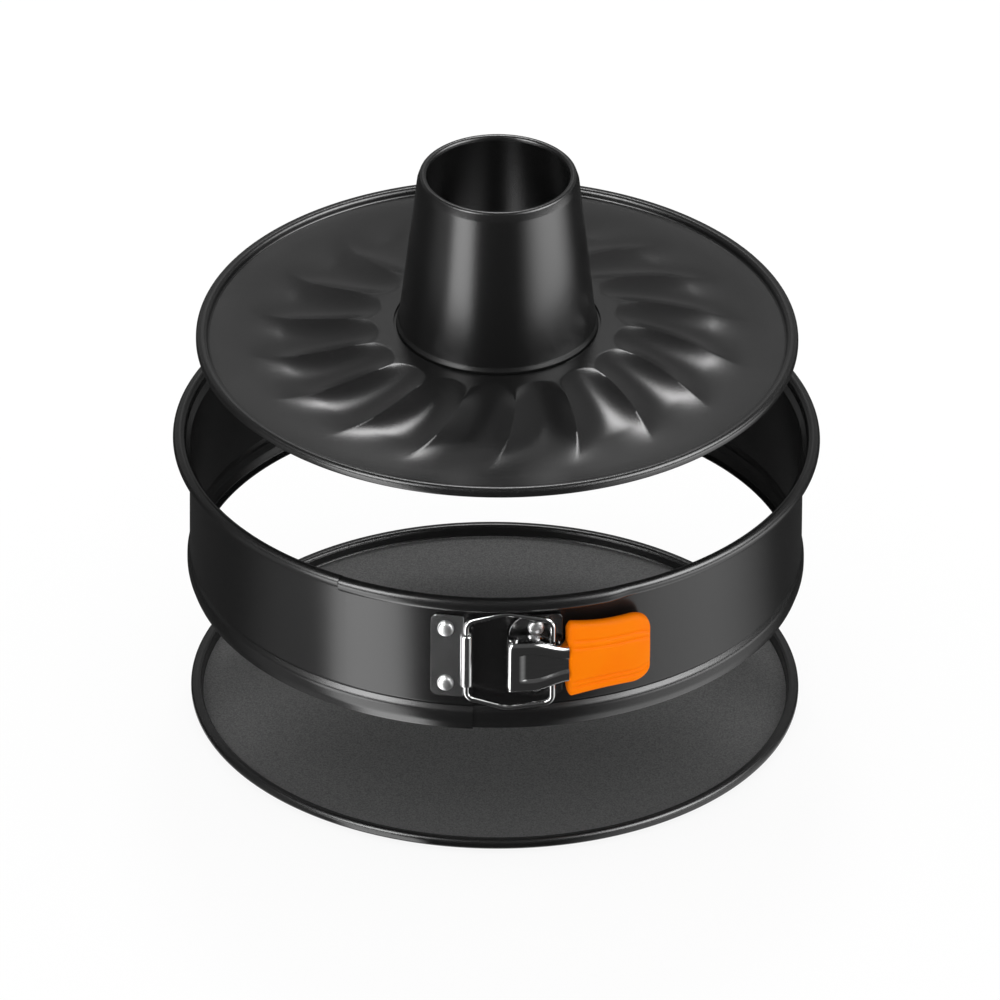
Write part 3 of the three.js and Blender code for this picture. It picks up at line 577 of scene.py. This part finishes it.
def band_line(shift, swell, rim=True, lip=True):
    """Middle line of the band's sheet, from the inward lip up to the end of the rolled rim."""
    middle = WALL_RADIUS - SHEET / 2
    wall = middle + shift
    low = RING_LOW + SHEET / 2
    crease = RING_LOW + BEAD_HEIGHT
    top = RING_HIGH - SHEET / 2
    roll = ROLL_RADIUS + swell * ROLL_SWELL
    outer = middle + RIM_REACH + 2 * swell * ROLL_SWELL
    corners = [(wall - SHEET / 2 - LIP_REACH, low, 0)] if lip else []
    corners += [(wall + out, low + up, bend) for out, up, bend in BEAD_FOOT]
    corners += [(wall + out, crease + up, bend) for out, up, bend in BEAD_CREASE]
    if not rim:
        tongue_top = RING_HIGH - RIM_HEIGHT - RIM_SWELL_DROP - SEAM
        return rounded(corners + [(wall, tongue_top, 0)])
    inner = outer - 2 * roll
    corners += [
        (wall, top - NECK_DROP, NECK_BEND),
        (inner, top - roll - NECK_RISE, ROLL_BEND),
        (inner, top - roll, 0),
    ]
    roll_line = [(outer - roll * (1 + math.cos(a)), top - roll * (1 - math.sin(a))) for a in ROLL_TURNS]
    return np.vstack([rounded(corners, steps=RIM_STEPS), roll_line[1:]])


def left_half():
    """The left half with its tongue, the outer layer at the front; it spirals out to clear the right half."""
    rim_end = OVERLAP_END_ANGLE - END_GAP_ANGLE
    tongue_start = rim_end - TONGUE_JOIN_ANGLE

    def outline_at(angle):
        share = (angle - SPIRAL_START_ANGLE) / (tongue_start - SPIRAL_START_ANGLE)
        return sheet(band_line(LAYER_STEP * ease(share), 0), SHEET)

    main = sweep(outline_at, np.linspace(-180, rim_end, LEFT_RINGS))
    outer_layer = sheet(band_line(LAYER_STEP, 0, rim=False, lip=False), SHEET - 2 * TONGUE_INSET)
    tongue = sweep(lambda a: outer_layer, np.linspace(tongue_start, TONGUE_END_ANGLE, TONGUE_RINGS))
    return joined(main, tongue)


def right_half():
    """The right half; its rim swells where the two ends overlap."""
    def outline_at(angle):
        swell = ease((SWELL_END_ANGLE - angle) / (SWELL_END_ANGLE - SWELL_FADE_ANGLE))
        return sheet(band_line(0, swell), SHEET)

    return sweep(outline_at, np.linspace(OVERLAP_END_ANGLE, 180, RIGHT_RINGS))


def band_half(name, shape, nodes):
    """Adds a half of the band; the halves meet at the back, where neither moves against the other."""
    piece = add_piece(name, shape, COAT, nodes)
    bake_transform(piece)
    return piece


# Bases

def base_rim(radius, rise, curl):
    """Corners of a base's raised rim, with heights counted from the panel's top face."""
    half = BASE_SHEET / 2
    outer, inner, top = radius - half, radius - BASE_RIM_WIDTH, rise - half
    return [
        (inner - BASE_WALL_RUN, -half, BASE_FOOT_BEND),
        (inner, top, BASE_CREST_BENDS[0]),
        (outer, top, BASE_CREST_BENDS[1]),
        (outer, top - curl, BASE_CURL_BEND),
        (outer - BASE_CURL_REACH, top - curl, 0),
    ]


def flat_base():
    """The flat base: a panel with a raised rim; the panel's faces are matt, and their light tone is painted
    light.
    """
    panel = BASE_SHEET
    corners = [(0.0, -BASE_SHEET / 2, 0)] + base_rim(FLAT_RADIUS, FLAT_HEIGHT - panel, FLAT_CURL)
    outline = sheet(rounded(corners, steps=RIM_STEPS), BASE_SHEET) + (0, panel)
    outline[:, 0] = np.maximum(outline[:, 0], 0)
    shape = sweep(lambda a: outline, np.arange(0, 360, BASE_STEP_ANGLE), closed=True)
    piece = add_piece("flat_base_sheet", shape, COAT, ["flat_base"], "flat_base")
    piece.data.materials.append(MATT_COAT_PAINTED_LIGHT)
    # The panel inside the rim takes the matt coat, whose light tone is painted light.
    for face in piece.data.polygons:
        if math.hypot(face.center.x, face.center.y) < (FLAT_RADIUS - BASE_RIM_WIDTH - MATT_PAINTED_LIGHT_MARGIN) * MM:
            face.material_index = 1
    return piece


def flute_height(radius, across):
    """Height of the fluted zone; across is 1 on a ridge and 0 in the middle of a scoop."""
    out = np.clip((radius - HUB_RADIUS) / (RIDGE_END - HUB_RADIUS), 0, 1)
    ridge = HUB_RISE * (1 - out ** 2) ** RIDGE_FALL
    scoop_start = HUB_RADIUS + SCALLOP * across
    scoop = HUB_RISE * np.clip((SCOOP_END - radius) / (SCOOP_END - scoop_start), 0, 1) ** SCOOP_FALL
    return mix(scoop, ridge, across)


def tube_base_plate():
    """The fluted base: hub, swirling flutes, panel and raised rim."""
    half = BASE_SHEET / 2
    hub_hole = TUBE_FOOT_RADIUS + TUBE_SEAM
    radii = np.concatenate([
        np.linspace(hub_hole, HUB_RADIUS, 6)[:-1],
        np.linspace(HUB_RADIUS, HUB_RADIUS + SCALLOP, 12)[:-1],
        np.linspace(HUB_RADIUS + SCALLOP, SCOOP_END + SCOOP_RUNOUT, 30)[:-1],
        np.linspace(SCOOP_END + SCOOP_RUNOUT, RIDGE_END, 14),
    ])
    corners = [(RIDGE_END + PANEL_START, -half, 0)] + base_rim(PLATE_RADIUS, TUBE_RIM_RISE, TUBE_PLATE_CURL)
    rim = rounded(corners, steps=RIM_STEPS)

    def outline_at(angle):
        phase = (angle - FLUTE_START_ANGLE) * FLUTES / 360 % 1
        across = (2 * phase - 1) ** 2
        line = np.vstack([np.column_stack([radii, flute_height(radii, across) - half]), rim])
        return sheet(line, BASE_SHEET) + (0, PANEL)

    def swirl(radius):
        share = np.clip((radius - HUB_RADIUS) / (RIDGE_END - HUB_RADIUS), 0, 1)
        return -FLUTE_SWIRL_ANGLE * share ** SWIRL_BEND

    angles = FLUTE_START_ANGLE + np.arange(0, 360, 360 / (FLUTES * FLUTE_RINGS))
    shape = sweep(outline_at, angles, closed=True, twist=swirl)
    return add_piece("fluted_sheet", shape, PLATE_COAT_PAINTED_LIGHT, ["tube_base_plate"], "tube_base")


def tube():
    """The tube: a flange under the hub, a cone and a rolled lip."""
    half = BASE_SHEET / 2
    flange = HUB_TOP - BASE_SHEET - SEAM - half
    foot, mouth, top = TUBE_FOOT_RADIUS - half, TUBE_TOP_RADIUS - half, TUBE_TOP - half
    line = rounded([
        (foot + TUBE_FLANGE + half, flange, 0),
        (foot - 0.1, flange, 0.6),
        (foot - 0.1, HUB_TOP + 0.5, 0.5),
        (foot - 1.0, HUB_TOP + 2.2, 2.5),
        (mouth + 0.2, top - TUBE_SHOULDER, 2.0),
        (mouth - TUBE_LIP * 0.3, top, 1.6),
        (mouth - TUBE_LIP * 0.85, top - 0.2, 1.0),
        (mouth - TUBE_LIP, top - TUBE_SHOULDER * 0.4, 0),
    ], steps=RIM_STEPS)
    outline = sheet(line, BASE_SHEET)
    shape = sweep(lambda a: outline, np.arange(0, 360, TUBE_STEP_ANGLE), closed=True)
    return add_piece("tube_sheet", shape, COAT, ["tube"], "tube_base")


# Latch

def keeper_plate():
    """The keeper: a plate on the band's tongue and the rolled barrel that holds the wire."""
    offset = math.radians(math.degrees(math.atan2(BARREL_AXIS[0], -BARREL_AXIS[1])) - KEEPER_ANGLE)
    barrel_radius = math.hypot(BARREL_AXIS[0], BARREL_AXIS[1])
    right = barrel_radius * math.sin(offset)
    lift = barrel_radius * math.cos(offset) - TONGUE_RADIUS
    half = PLATE_HEIGHT / 2
    outline = rounded([
        (right - KEEPER_WIDTH, -half, KEEPER_BENDS[0]),
        (right - KEEPER_EDGE, -half, KEEPER_BENDS[1]),
        (right - KEEPER_EDGE, half, KEEPER_BENDS[1]),
        (right - KEEPER_WIDTH, half, KEEPER_BENDS[0]),
    ], closed=True)
    flat = plate(outline, PLATE, on_ring(KEEPER_ANGLE, TONGUE_RADIUS + SEAM))
    roll = (WIRE + 2 * WIRE_PLAY + BARREL_WALL) / 2
    tail = [(right - reach, SEAM + PLATE / 2) for reach in BARREL_TAIL]
    arc = [(right + roll * math.cos(a), lift + roll * math.sin(a)) for a in BARREL_TURNS]
    section = sheet(np.array(tail + arc), BARREL_WALL)
    axes, origin = on_ring(KEEPER_ANGLE, TONGUE_RADIUS)
    ends = []
    for z in (-BARREL_LENGTH / 2, BARREL_LENGTH / 2):
        level = np.full(len(section), z)
        ends.append(np.column_stack([section[:, 0], level, section[:, 1]]) @ axes.T + origin)
    barrel = np.vstack(ends), strip_faces(2, len(section), False)
    shape = joined(flat, barrel)
    return add_piece("keeper", shape, SATIN_STEEL, ["keeper_plate"], "left_arm", bevel=0.4)


def rivet(name, angle, z, seat, body):
    """A dome-headed rivet on the band."""
    head = RIVET_HEAD / 2
    shank = [(0.0, -RIVET_SHANK), (head * 0.5, -RIVET_SHANK), (head * 0.5, 0.05), (head - 0.15, 0.05)]
    turns = np.radians(np.linspace(0, 90, 12))
    dome = [(head * math.cos(a), SEAM + RIVET_DOME * math.sin(a) ** RIVET_FULLNESS) for a in turns]
    profile = shank + dome
    profile[-1] = (0.0, profile[-1][1])
    shape = turned(profile, polar(seat, angle, z), polar(1, angle))
    return add_piece(f"{name}_dome", shape, RIVET_STEEL, [name], body)


def bracket():
    """The lever's bracket: a plate on the band and two ears that hold the pivot pin."""
    half, width = PLATE_HEIGHT / 2, BRACKET_WIDTH / 2
    outline = rounded([
        (-width, -half, BRACKET_NOSE),
        (width, -half, BRACKET_BEND),
        (width, half, BRACKET_BEND),
        (-width, half, BRACKET_NOSE),
    ], closed=True, steps=12)
    parts = [plate(outline, PLATE, on_ring(BRACKET_ANGLE, WALL_RADIUS + SEAM))]
    ear_nose = PIN / 2 + EAR_EDGE
    foot = -(WALL_RADIUS + SEAM + PLATE / 2)
    ear = rounded([
        (PIVOT[0] - ear_nose, foot, EAR_FOOT_BEND),
        (PIVOT[0] - ear_nose, PIVOT[1] - ear_nose, EAR_BEND),
        (PIVOT[0] + ear_nose, PIVOT[1] - ear_nose, EAR_BEND),
        (PIVOT[0] + ear_nose, foot + EAR_FOOT_STEP, EAR_FOOT_BEND),
    ], closed=True)
    for side in (-1, 1):
        low = LATCH_Z + side * EAR_REACH - (EAR if side > 0 else 0)
        parts.append(plate(ear, EAR, (np.eye(3), np.array([0, 0, low]))))
    shape = joined(*parts)
    # The bracket takes the steel darkened with painted shade.
    return add_piece("bracket", shape, PAINTED_SHADE_STEEL, ["latch_bracket"], "right_arm", bevel=0.2)


def pivot_pin():
    """The lever's pivot pin, with a head at each end."""
    reach = LEVER_HEIGHT / 2 + SEAM
    head = [(PIN / 2, reach)] + [(r, reach + h) for r, h in PIN_HEAD]
    profile = [(r, -h) for r, h in reversed(head)] + head
    shape = turned(profile, np.array([PIVOT[0], PIVOT[1], LATCH_Z]), (0, 0, 1))
    return add_piece("pivot_pin", shape, BRIGHT_STEEL, ["lever_pivot_pin"], "right_arm")


def lever_half_height(angle):
    """Half the lever's height, which tapers towards the grip."""
    share = (angle - LEVER_TAPER_ANGLE) / (GRIP_START_ANGLE - LEVER_TAPER_ANGLE)
    return mix(LEVER_HEIGHT, LEVER_NECK, ease(share)) / 2


def lever_line(angle):
    """Middle line of the lever's channel section: flange, stamped face, flange."""
    half = lever_half_height(angle) - LEVER_SHEET / 2
    front = WALL_RADIUS + LEVER_LIFT + LEVER_DEPTH - LEVER_SHEET / 2
    back = WALL_RADIUS + LEVER_LIFT
    nose = np.clip((LEVER_START_ANGLE + LEVER_NOSE_ANGLE - angle) / LEVER_NOSE_ANGLE, 0, 1)
    front -= LEVER_NOSE_DROP * (1 - math.sqrt(max(1 - nose ** 2, 0)))
    half -= LEVER_NOSE_TAPER * (1 - math.sqrt(max(1 - nose ** 2, 0)))
    run = (angle - LEVER_RECESS_START_ANGLE) / LEVER_RECESS_RUN_ANGLE
    depth = LEVER_RECESS * ease(run) + LEVER_RECESS_LEAST
    edge = half - LEVER_RECESS_EDGE
    corners = [
        (back, -half, 0),
        (front, -half, LEVER_BEND),
        (front, -edge - 1, LEVER_RECESS_BEND),
        (front - depth, -edge, LEVER_RECESS_BEND),
        (front - depth, edge, LEVER_RECESS_BEND),
        (front, edge + 1, LEVER_RECESS_BEND),
        (front, half, LEVER_BEND),
        (back, half, 0),
    ]
    return rounded(corners, steps=5) + (0, LATCH_Z)


def slot_cutter(side):
    """The slot in one flange of the lever, in which a wire end runs."""
    end = polar(WALL_RADIUS + WIRE_END_LIFT, WIRE_END_ANGLE)
    along = end[:2] - PIVOT[:2]
    along /= np.linalg.norm(along)
    across = np.array([-along[1], along[0]])
    half = WIRE / 2 + WIRE_PLAY + SLOT_SIDE
    near, far = -SLOT_INWARD - half, SLOT_OUTWARD + half
    reach = ((near, -half), (far, -half), (far, half), (near, half))
    outline = rounded([(*(end[:2] + along * u + across * v), half * 0.98) for u, v in reach], closed=True)
    low = LATCH_Z + (SLOT_CLEAR if side > 0 else -SLOT_CLEAR - LEVER_HEIGHT)
    return plate(outline, LEVER_HEIGHT, (np.eye(3), np.array([0, 0, low])))


def cut_piece(piece, shape):
    """Takes a shape out of a piece."""
    points, faces = shape
    mesh = bpy.data.meshes.new("cutter")
    mesh.from_pydata((points * MM).tolist(), [], faces)
    work = bmesh.new()
    work.from_mesh(mesh)
    bmesh.ops.recalc_face_normals(work, faces=work.faces)
    work.to_mesh(mesh)
    work.free()
    cutter = bpy.data.objects.new("cutter", mesh)
    bpy.context.scene.collection.objects.link(cutter)
    modifier = piece.modifiers.new("cut", "BOOLEAN")
    modifier.operation = "DIFFERENCE"
    modifier.object = cutter
    modifier.solver = "EXACT"
    depsgraph = bpy.context.evaluated_depsgraph_get()
    result = bpy.data.meshes.new_from_object(piece.evaluated_get(depsgraph))
    piece.modifiers.clear()
    piece.data = result
    result.set_sharp_from_angle(angle=math.radians(SHARP_ANGLE))
    bpy.data.objects.remove(cutter)


def lever():
    """The lever's channel, with a rounded nose and a slot in each flange."""
    angles = np.concatenate([
        LEVER_START_ANGLE + LEVER_NOSE_ANGLE * (1 - np.cos(np.radians(np.linspace(0, 90, 9))))[:-1],
        np.linspace(LEVER_START_ANGLE + LEVER_NOSE_ANGLE, GRIP_START_ANGLE - 0.1, 40),
    ])
    shape = sweep(lambda a: sheet(lever_line(a), LEVER_SHEET), angles)
    piece = add_piece("lever_channel", shape, BRIGHT_STEEL, ["lever"], "lever")
    for side in (-1, 1):
        cut_piece(piece, slot_cutter(side))
    return piece


def grip_outline(angle):
    """Cross-section of the grip: rounded, with two grooves near its top and two near its bottom."""
    t = (angle - GRIP_START_ANGLE) / (GRIP_END_ANGLE - GRIP_START_ANGLE)
    tip_start = 1 - GRIP_TIP_SHARE
    tip = math.sqrt(max(1 - np.clip((t - tip_start) / GRIP_TIP_SHARE, 0, 1) ** 2, 0))
    start = math.sqrt(1 - np.clip((GRIP_START_SHARE - t) / GRIP_START_SHARE, 0, 1) ** 2 * GRIP_START_ROUND)
    waist = math.sin(math.pi * np.clip(t / tip_start, 0, 1)) * GRIP_WAIST
    half = (mix(GRIP_HEIGHT, GRIP_TIP_HEIGHT, t) / 2 - waist) * start - (1 - tip) * GRIP_TIP_ROUND
    inner = WALL_RADIUS + GRIP_LIFT
    depth = GRIP_DEPTH * mix(GRIP_TIP_DEPTH, 1, tip) * start
    bend = depth * GRIP_BEND
    edge = inner + depth - GRIP_CROWN * tip
    corners = [(inner, -half, bend), (edge, -half, bend), (edge, half, bend), (inner, half, bend)]
    outline = rounded(corners, steps=GRIP_BEND_STEPS, closed=True)
    face = np.linspace(-half + bend, half - bend, GRIP_FACE_POINTS)[1:-1]
    crown = GRIP_CROWN * tip * (1 - (face / (half - bend)) ** 2)
    dip = np.zeros_like(face)
    for place in GRIP_GROOVES:
        dip += np.exp(-((face - place * (half - bend)) / (GRIP_GROOVE_WIDTH * 0.32)) ** 2)
    depth_here = GRIP_GROOVE_DEPTH * tip * ease((t - 0.02) / 0.08)
    front = np.column_stack([edge + crown - dip * depth_here, face])
    face_start = 2 * (GRIP_BEND_STEPS + 1)
    return np.vstack([outline[:face_start], front, outline[face_start:]]) + (0, LATCH_Z)


def grip():
    """The silicone sleeve on the lever."""
    span = GRIP_END_ANGLE - GRIP_START_ANGLE
    tip_start = 1 - GRIP_TIP_SHARE
    shares = np.concatenate([
        np.linspace(0, GRIP_START_SHARE, 6)[:-1],
        np.linspace(GRIP_START_SHARE, tip_start, 30)[:-1],
        tip_start + GRIP_TIP_SHARE * np.sin(np.radians(np.linspace(0, 90, 24))),
    ])
    shape = sweep(grip_outline, GRIP_START_ANGLE + span * shares)
    return add_piece("grip_sleeve", shape, SILICONE, ["lever_grip"], "lever", sharp=60)


def wire_loop():
    """The wire from the keeper's barrel round to the slots in the lever."""
    end = polar(WALL_RADIUS + WIRE_END_LIFT, WIRE_END_ANGLE)
    span = end[:2] - BARREL_AXIS[:2]
    across = np.linalg.norm(span)
    along = span / across
    tip = lever_half_height(WIRE_END_ANGLE) - LEVER_SHEET - WIRE_END_SHORT
    upper = [
        (0, WIRE_CORNER_HEIGHT, WIRE_BEND),
        (across * WIRE_PEAK_SHARE, WIRE_PEAK_HEIGHT, WIRE_PEAK_BEND),
        (across, WIRE_SIDE_HEIGHT, WIRE_BEND),
        (across, tip, 0),
    ]
    corners = upper[::-1] + [(x, -z, r) for x, z, r in upper]
    path = rounded(corners, steps=14)
    points = [(*(BARREL_AXIS[:2] + along * x), LATCH_Z + z) for x, z in path]
    shape = rod(points, WIRE_SEEN)
    return add_piece("wire_bail", shape, BRIGHT_STEEL, ["wire_loop"], "wire")


band_half("ring_band_left", left_half(), ("band_left", "band_back"))
band_half("ring_band_right", right_half(), ("band_right",))
flat_base()
tube_base_plate()
tube()
keeper_plate()
bracket()
pivot_pin()
lever()
grip()
wire_loop()
for level, side in (("lower", -1), ("upper", 1)):
    rivet(f"keeper_rivet_{level}", KEEPER_RIVET_ANGLE, LATCH_Z + side * KEEPER_RIVET_SPREAD / 2,
          TONGUE_RADIUS + SEAM + PLATE, "left_arm")
    rivet(f"bracket_rivet_{level}", BRACKET_ANGLE, LATCH_Z + side * BRACKET_RIVET_SPREAD / 2,
          WALL_RADIUS + SEAM + PLATE, "right_arm")


# Studio

AMBIENT = 1.0
FLOOR_GLOW = 0.9
FLOOR_TONE = (0.9, 0.9, 0.9, 1)
FLOOR_SIZE = 60
FLOOR_DROP = 0.0005
ROOM_RADIUS = 2500.0
ROOM_DARK = 0.12
ROOM_BACK = (14.0, 58.0, 0.31)  # wall behind the set: middle elevation, half width, brightness
ROOM_BACK_SOFT = 14.0
TABLE_DARK = 0.05
TABLE_NEAR = (250.0, 700.0)
TABLE_PROFILE = ((132.0, 0.5), (400.0, 8.0), (900.0, 60.0), (1600.0, 220.0))  # radius, height
STRIP_CENTRE = (0.0, -0.085, 0.0)
STRIP_TOP = (50.0, 68.0)  # elevations over which the strips fade out
STRIP_FOOT = (20.0, 36.0)  # and below which they are dim
STRIP_FOOT_LEVEL = 0.06
STRIPS = (  # direction, half width, softness, brightness on the table near the pan, far from it, on the wall
    (-50.5, 15.0, 0.3, 4.4, 8.0, 17.0),
    (-80.0, 16.0, 0.8, 0.35, 0.6, 1.0),
    (75.0, 27.0, 0.75, 1.5, 5.5, 15.0),
)
OVERHEAD_PLACE = (0.0, 1.1, 1.55)
OVERHEAD_AIM = (0, 0, 0.15)
OVERHEAD_SIZE = (0.36, 0.42)
OVERHEAD_RADIANCE = 18


def math_node(nodes, operation, first, second=None):
    """The result of a maths node on one or two numbers or sockets."""
    node = nodes.add("ShaderNodeMath", {"operation": operation})
    for socket, value in zip(node.inputs, (first, second)):
        if isinstance(value, bpy.types.NodeSocket):
            nodes.tree.links.new(value, socket)
        elif value is not None:
            socket.default_value = value
    return node.outputs[0]


def seen_rays(nodes):
    """1 for rays that show the background: from the camera, from gloss and through glass."""
    path = nodes.add("ShaderNodeLightPath").outputs
    seen = math_node(nodes, "MAXIMUM", path["Is Camera Ray"], path["Is Glossy Ray"])
    return math_node(nodes, "MAXIMUM", seen, path["Is Transmission Ray"])


def world():
    """Even light from all round; the camera and reflections see white."""
    scene_world = bpy.data.worlds.new("studio")
    scene_world.use_nodes = True
    bpy.context.scene.world = scene_world
    nodes = Nodes(scene_world.node_tree)
    output = nodes.add("ShaderNodeOutputWorld")
    ambient = nodes.add("ShaderNodeBackground", Color=(1, 1, 1, 1), Strength=AMBIENT)
    white = nodes.add("ShaderNodeBackground", Color=(1, 1, 1, 1), Strength=1.0)
    blend = nodes.add("ShaderNodeMixShader", Fac=seen_rays(nodes))
    nodes.tree.links.new(ambient.outputs[0], blend.inputs[1])
    nodes.tree.links.new(white.outputs[0], blend.inputs[2])
    nodes.set(output, "Surface", blend.outputs[0])


def floor():
    """A pale floor that shows white and keeps a soft shadow."""
    material, nodes, output, place = new_material("floor_white")
    paper = nodes.add("ShaderNodeBsdfDiffuse", Color=FLOOR_TONE)
    glow = nodes.add("ShaderNodeEmission", Color=(1, 1, 1, 1), Strength=1.0)
    share = math_node(nodes, "MULTIPLY", seen_rays(nodes), FLOOR_GLOW)
    blend = nodes.add("ShaderNodeMixShader", Fac=share)
    nodes.tree.links.new(paper.outputs[0], blend.inputs[1])
    nodes.tree.links.new(glow.outputs[0], blend.inputs[2])
    nodes.set(output, "Surface", blend.outputs[0])
    bpy.ops.mesh.primitive_plane_add(size=FLOOR_SIZE, location=(0, 0, -FLOOR_DROP))
    plane = bpy.context.object
    plane.name = "floor"
    plane.data.materials.append(material)


def soft_step(nodes, value, near, far, inside, outside):
    """A smooth change from inside to outside as the value goes from near to far."""
    node = nodes.add("ShaderNodeMapRange", {"interpolation_type": "SMOOTHSTEP"}, Value=value)
    for socket, number in zip(("From Min", "From Max", "To Min", "To Max"), (near, far, inside, outside)):
        node.inputs[socket].default_value = number
    return node.outputs["Result"]


def reflection_card(name, profile, brightness):
    """Cards round the set that show only in reflections; brightness(nodes, place) paints them."""
    material, nodes, output, place = new_material(f"{name}_cards")
    glow = nodes.add("ShaderNodeEmission", Color=(1, 1, 1, 1), Strength=brightness(nodes, place))
    nodes.set(output, "Surface", glow.outputs[0])
    rings = [[polar(r, a, z) for r, z in profile] for a in np.arange(0, 360, 5)]
    count = len(profile)
    faces = []
    for i in range(len(rings)):
        near, far = i * count, ((i + 1) % len(rings)) * count
        faces += [(near + j, far + j, far + j + 1, near + j + 1) for j in range(count - 1)]
    mesh = bpy.data.meshes.new(name)
    mesh.from_pydata((np.array(rings).reshape(-1, 3) * MM).tolist(), [], faces)
    mesh.materials.append(material)
    cards = bpy.data.objects.new(name, mesh)
    bpy.context.scene.collection.objects.link(cards)
    for ray in ("camera", "diffuse", "transmission", "volume_scatter", "shadow"):
        setattr(cards, f"visible_{ray}", False)


def strip_brightness(nodes, place, dark, farness=None):
    """Dark cards with upright white strips between them; on the table they change with the distance."""
    shifted = nodes.add("ShaderNodeVectorMath", {"operation": "SUBTRACT"})
    nodes.tree.links.new(place, shifted.inputs[0])
    shifted.inputs[1].default_value = STRIP_CENTRE
    parts = nodes.add("ShaderNodeSeparateXYZ", Vector=shifted.outputs[0])
    front = math_node(nodes, "MULTIPLY", parts.outputs["Y"], -1.0)
    angle = math_node(nodes, "ARCTAN2", parts.outputs["X"], front)
    total = dark
    for centre, half_width, softness, near, far, wall in STRIPS:
        away = math_node(nodes, "ABSOLUTE", math_node(nodes, "SUBTRACT", angle, math.radians(centre)))
        low, high = (math.radians(half_width * (1 + sign * softness)) for sign in (-1, 1))
        level = wall
        if farness:
            level = math_node(nodes, "ADD", math_node(nodes, "MULTIPLY", farness, far - near), near)
        strip = math_node(nodes, "MULTIPLY", soft_step(nodes, away, low, high, 1.0, 0.0), level)
        total = math_node(nodes, "ADD", strip, total)
    return total


def table_brightness(nodes, place):
    """A dark table with the strips along it."""
    distance = nodes.add("ShaderNodeVectorMath", {"operation": "LENGTH"})
    nodes.tree.links.new(place, distance.inputs[0])
    near, far = (d * MM for d in TABLE_NEAR)
    farness = soft_step(nodes, distance.outputs["Value"], near, far, 0.0, 1.0)
    return strip_brightness(nodes, place, TABLE_DARK, farness)


def room_brightness(nodes, place):
    """A dark room with a white wall behind the set and the strips at its sides."""
    elevation, half_width, level = ROOM_BACK
    turn = math.radians(elevation)
    unit = nodes.add("ShaderNodeVectorMath", {"operation": "NORMALIZE"})
    nodes.tree.links.new(place, unit.inputs[0])
    toward = nodes.add("ShaderNodeVectorMath", {"operation": "DOT_PRODUCT"})
    nodes.tree.links.new(unit.outputs[0], toward.inputs[0])
    toward.inputs[1].default_value = (0, math.cos(turn), math.sin(turn))
    off_axis = math_node(nodes, "ARCCOSINE", toward.outputs["Value"])
    low, high = math.radians(half_width - ROOM_BACK_SOFT), math.radians(half_width + ROOM_BACK_SOFT)
    back = soft_step(nodes, off_axis, low, high, level, ROOM_DARK)
    height = nodes.add("ShaderNodeSeparateXYZ", Vector=unit.outputs[0]).outputs["Z"]
    strips = strip_brightness(nodes, place, 0.0)
    for fade, below, above in ((STRIP_TOP, 1.0, 0.0), (STRIP_FOOT, STRIP_FOOT_LEVEL, 1.0)):
        low, high = (math.sin(math.radians(a)) for a in fade)
        strips = math_node(nodes, "MULTIPLY", strips, soft_step(nodes, height, low, high, below, above))
    return math_node(nodes, "ADD", back, strips)


def cards():
    """The room and the table, seen in reflections alone."""
    turns = np.radians(np.arange(-2, 91, 4))
    dome = [(ROOM_RADIUS * math.cos(a), ROOM_RADIUS * math.sin(a)) for a in turns]
    reflection_card("room", dome, room_brightness)
    reflection_card("table", TABLE_PROFILE, table_brightness)


def area_light(name, place, aim, size, radiance):
    """A soft box that shows a given brightness to the surfaces that mirror it."""
    light = bpy.data.lights.new(name, "AREA")
    light.shape = "RECTANGLE"
    light.size, light.size_y = size
    light.energy = radiance * math.pi * size[0] * size[1]
    lamp = bpy.data.objects.new(name, light)
    lamp.location = place
    lamp.rotation_euler = (Vector(aim) - Vector(place)).to_track_quat("-Z", "Y").to_euler()
    lamp.visible_camera = False
    bpy.context.scene.collection.objects.link(lamp)
    return lamp


def camera():
    """The photograph's long view from the front, a little rolled."""
    elevation = math.radians(VIEW_ELEVATION)
    data = bpy.data.cameras.new("camera")
    data.sensor_width = SENSOR
    data.lens = SENSOR * VIEW_DISTANCE / VIEW_WIDTH
    data.clip_end = 100
    eye = bpy.data.objects.new("camera", data)
    back = Vector((0, -math.cos(elevation), math.sin(elevation)))
    eye.location = Vector(VIEW_AIM) + back * VIEW_DISTANCE
    roll = Matrix.Rotation(math.radians(VIEW_ROLL), 4, "Z")
    eye.rotation_euler = (back.to_track_quat("Z", "Y").to_matrix().to_4x4() @ roll).to_euler()
    bpy.context.scene.collection.objects.link(eye)
    bpy.context.scene.camera = eye


world()
floor()
cards()
area_light("overhead", OVERHEAD_PLACE, OVERHEAD_AIM, OVERHEAD_SIZE, OVERHEAD_RADIANCE)
camera()
bpy.context.scene.view_settings.view_transform = "Standard"

bpy.context.view_layer.update()
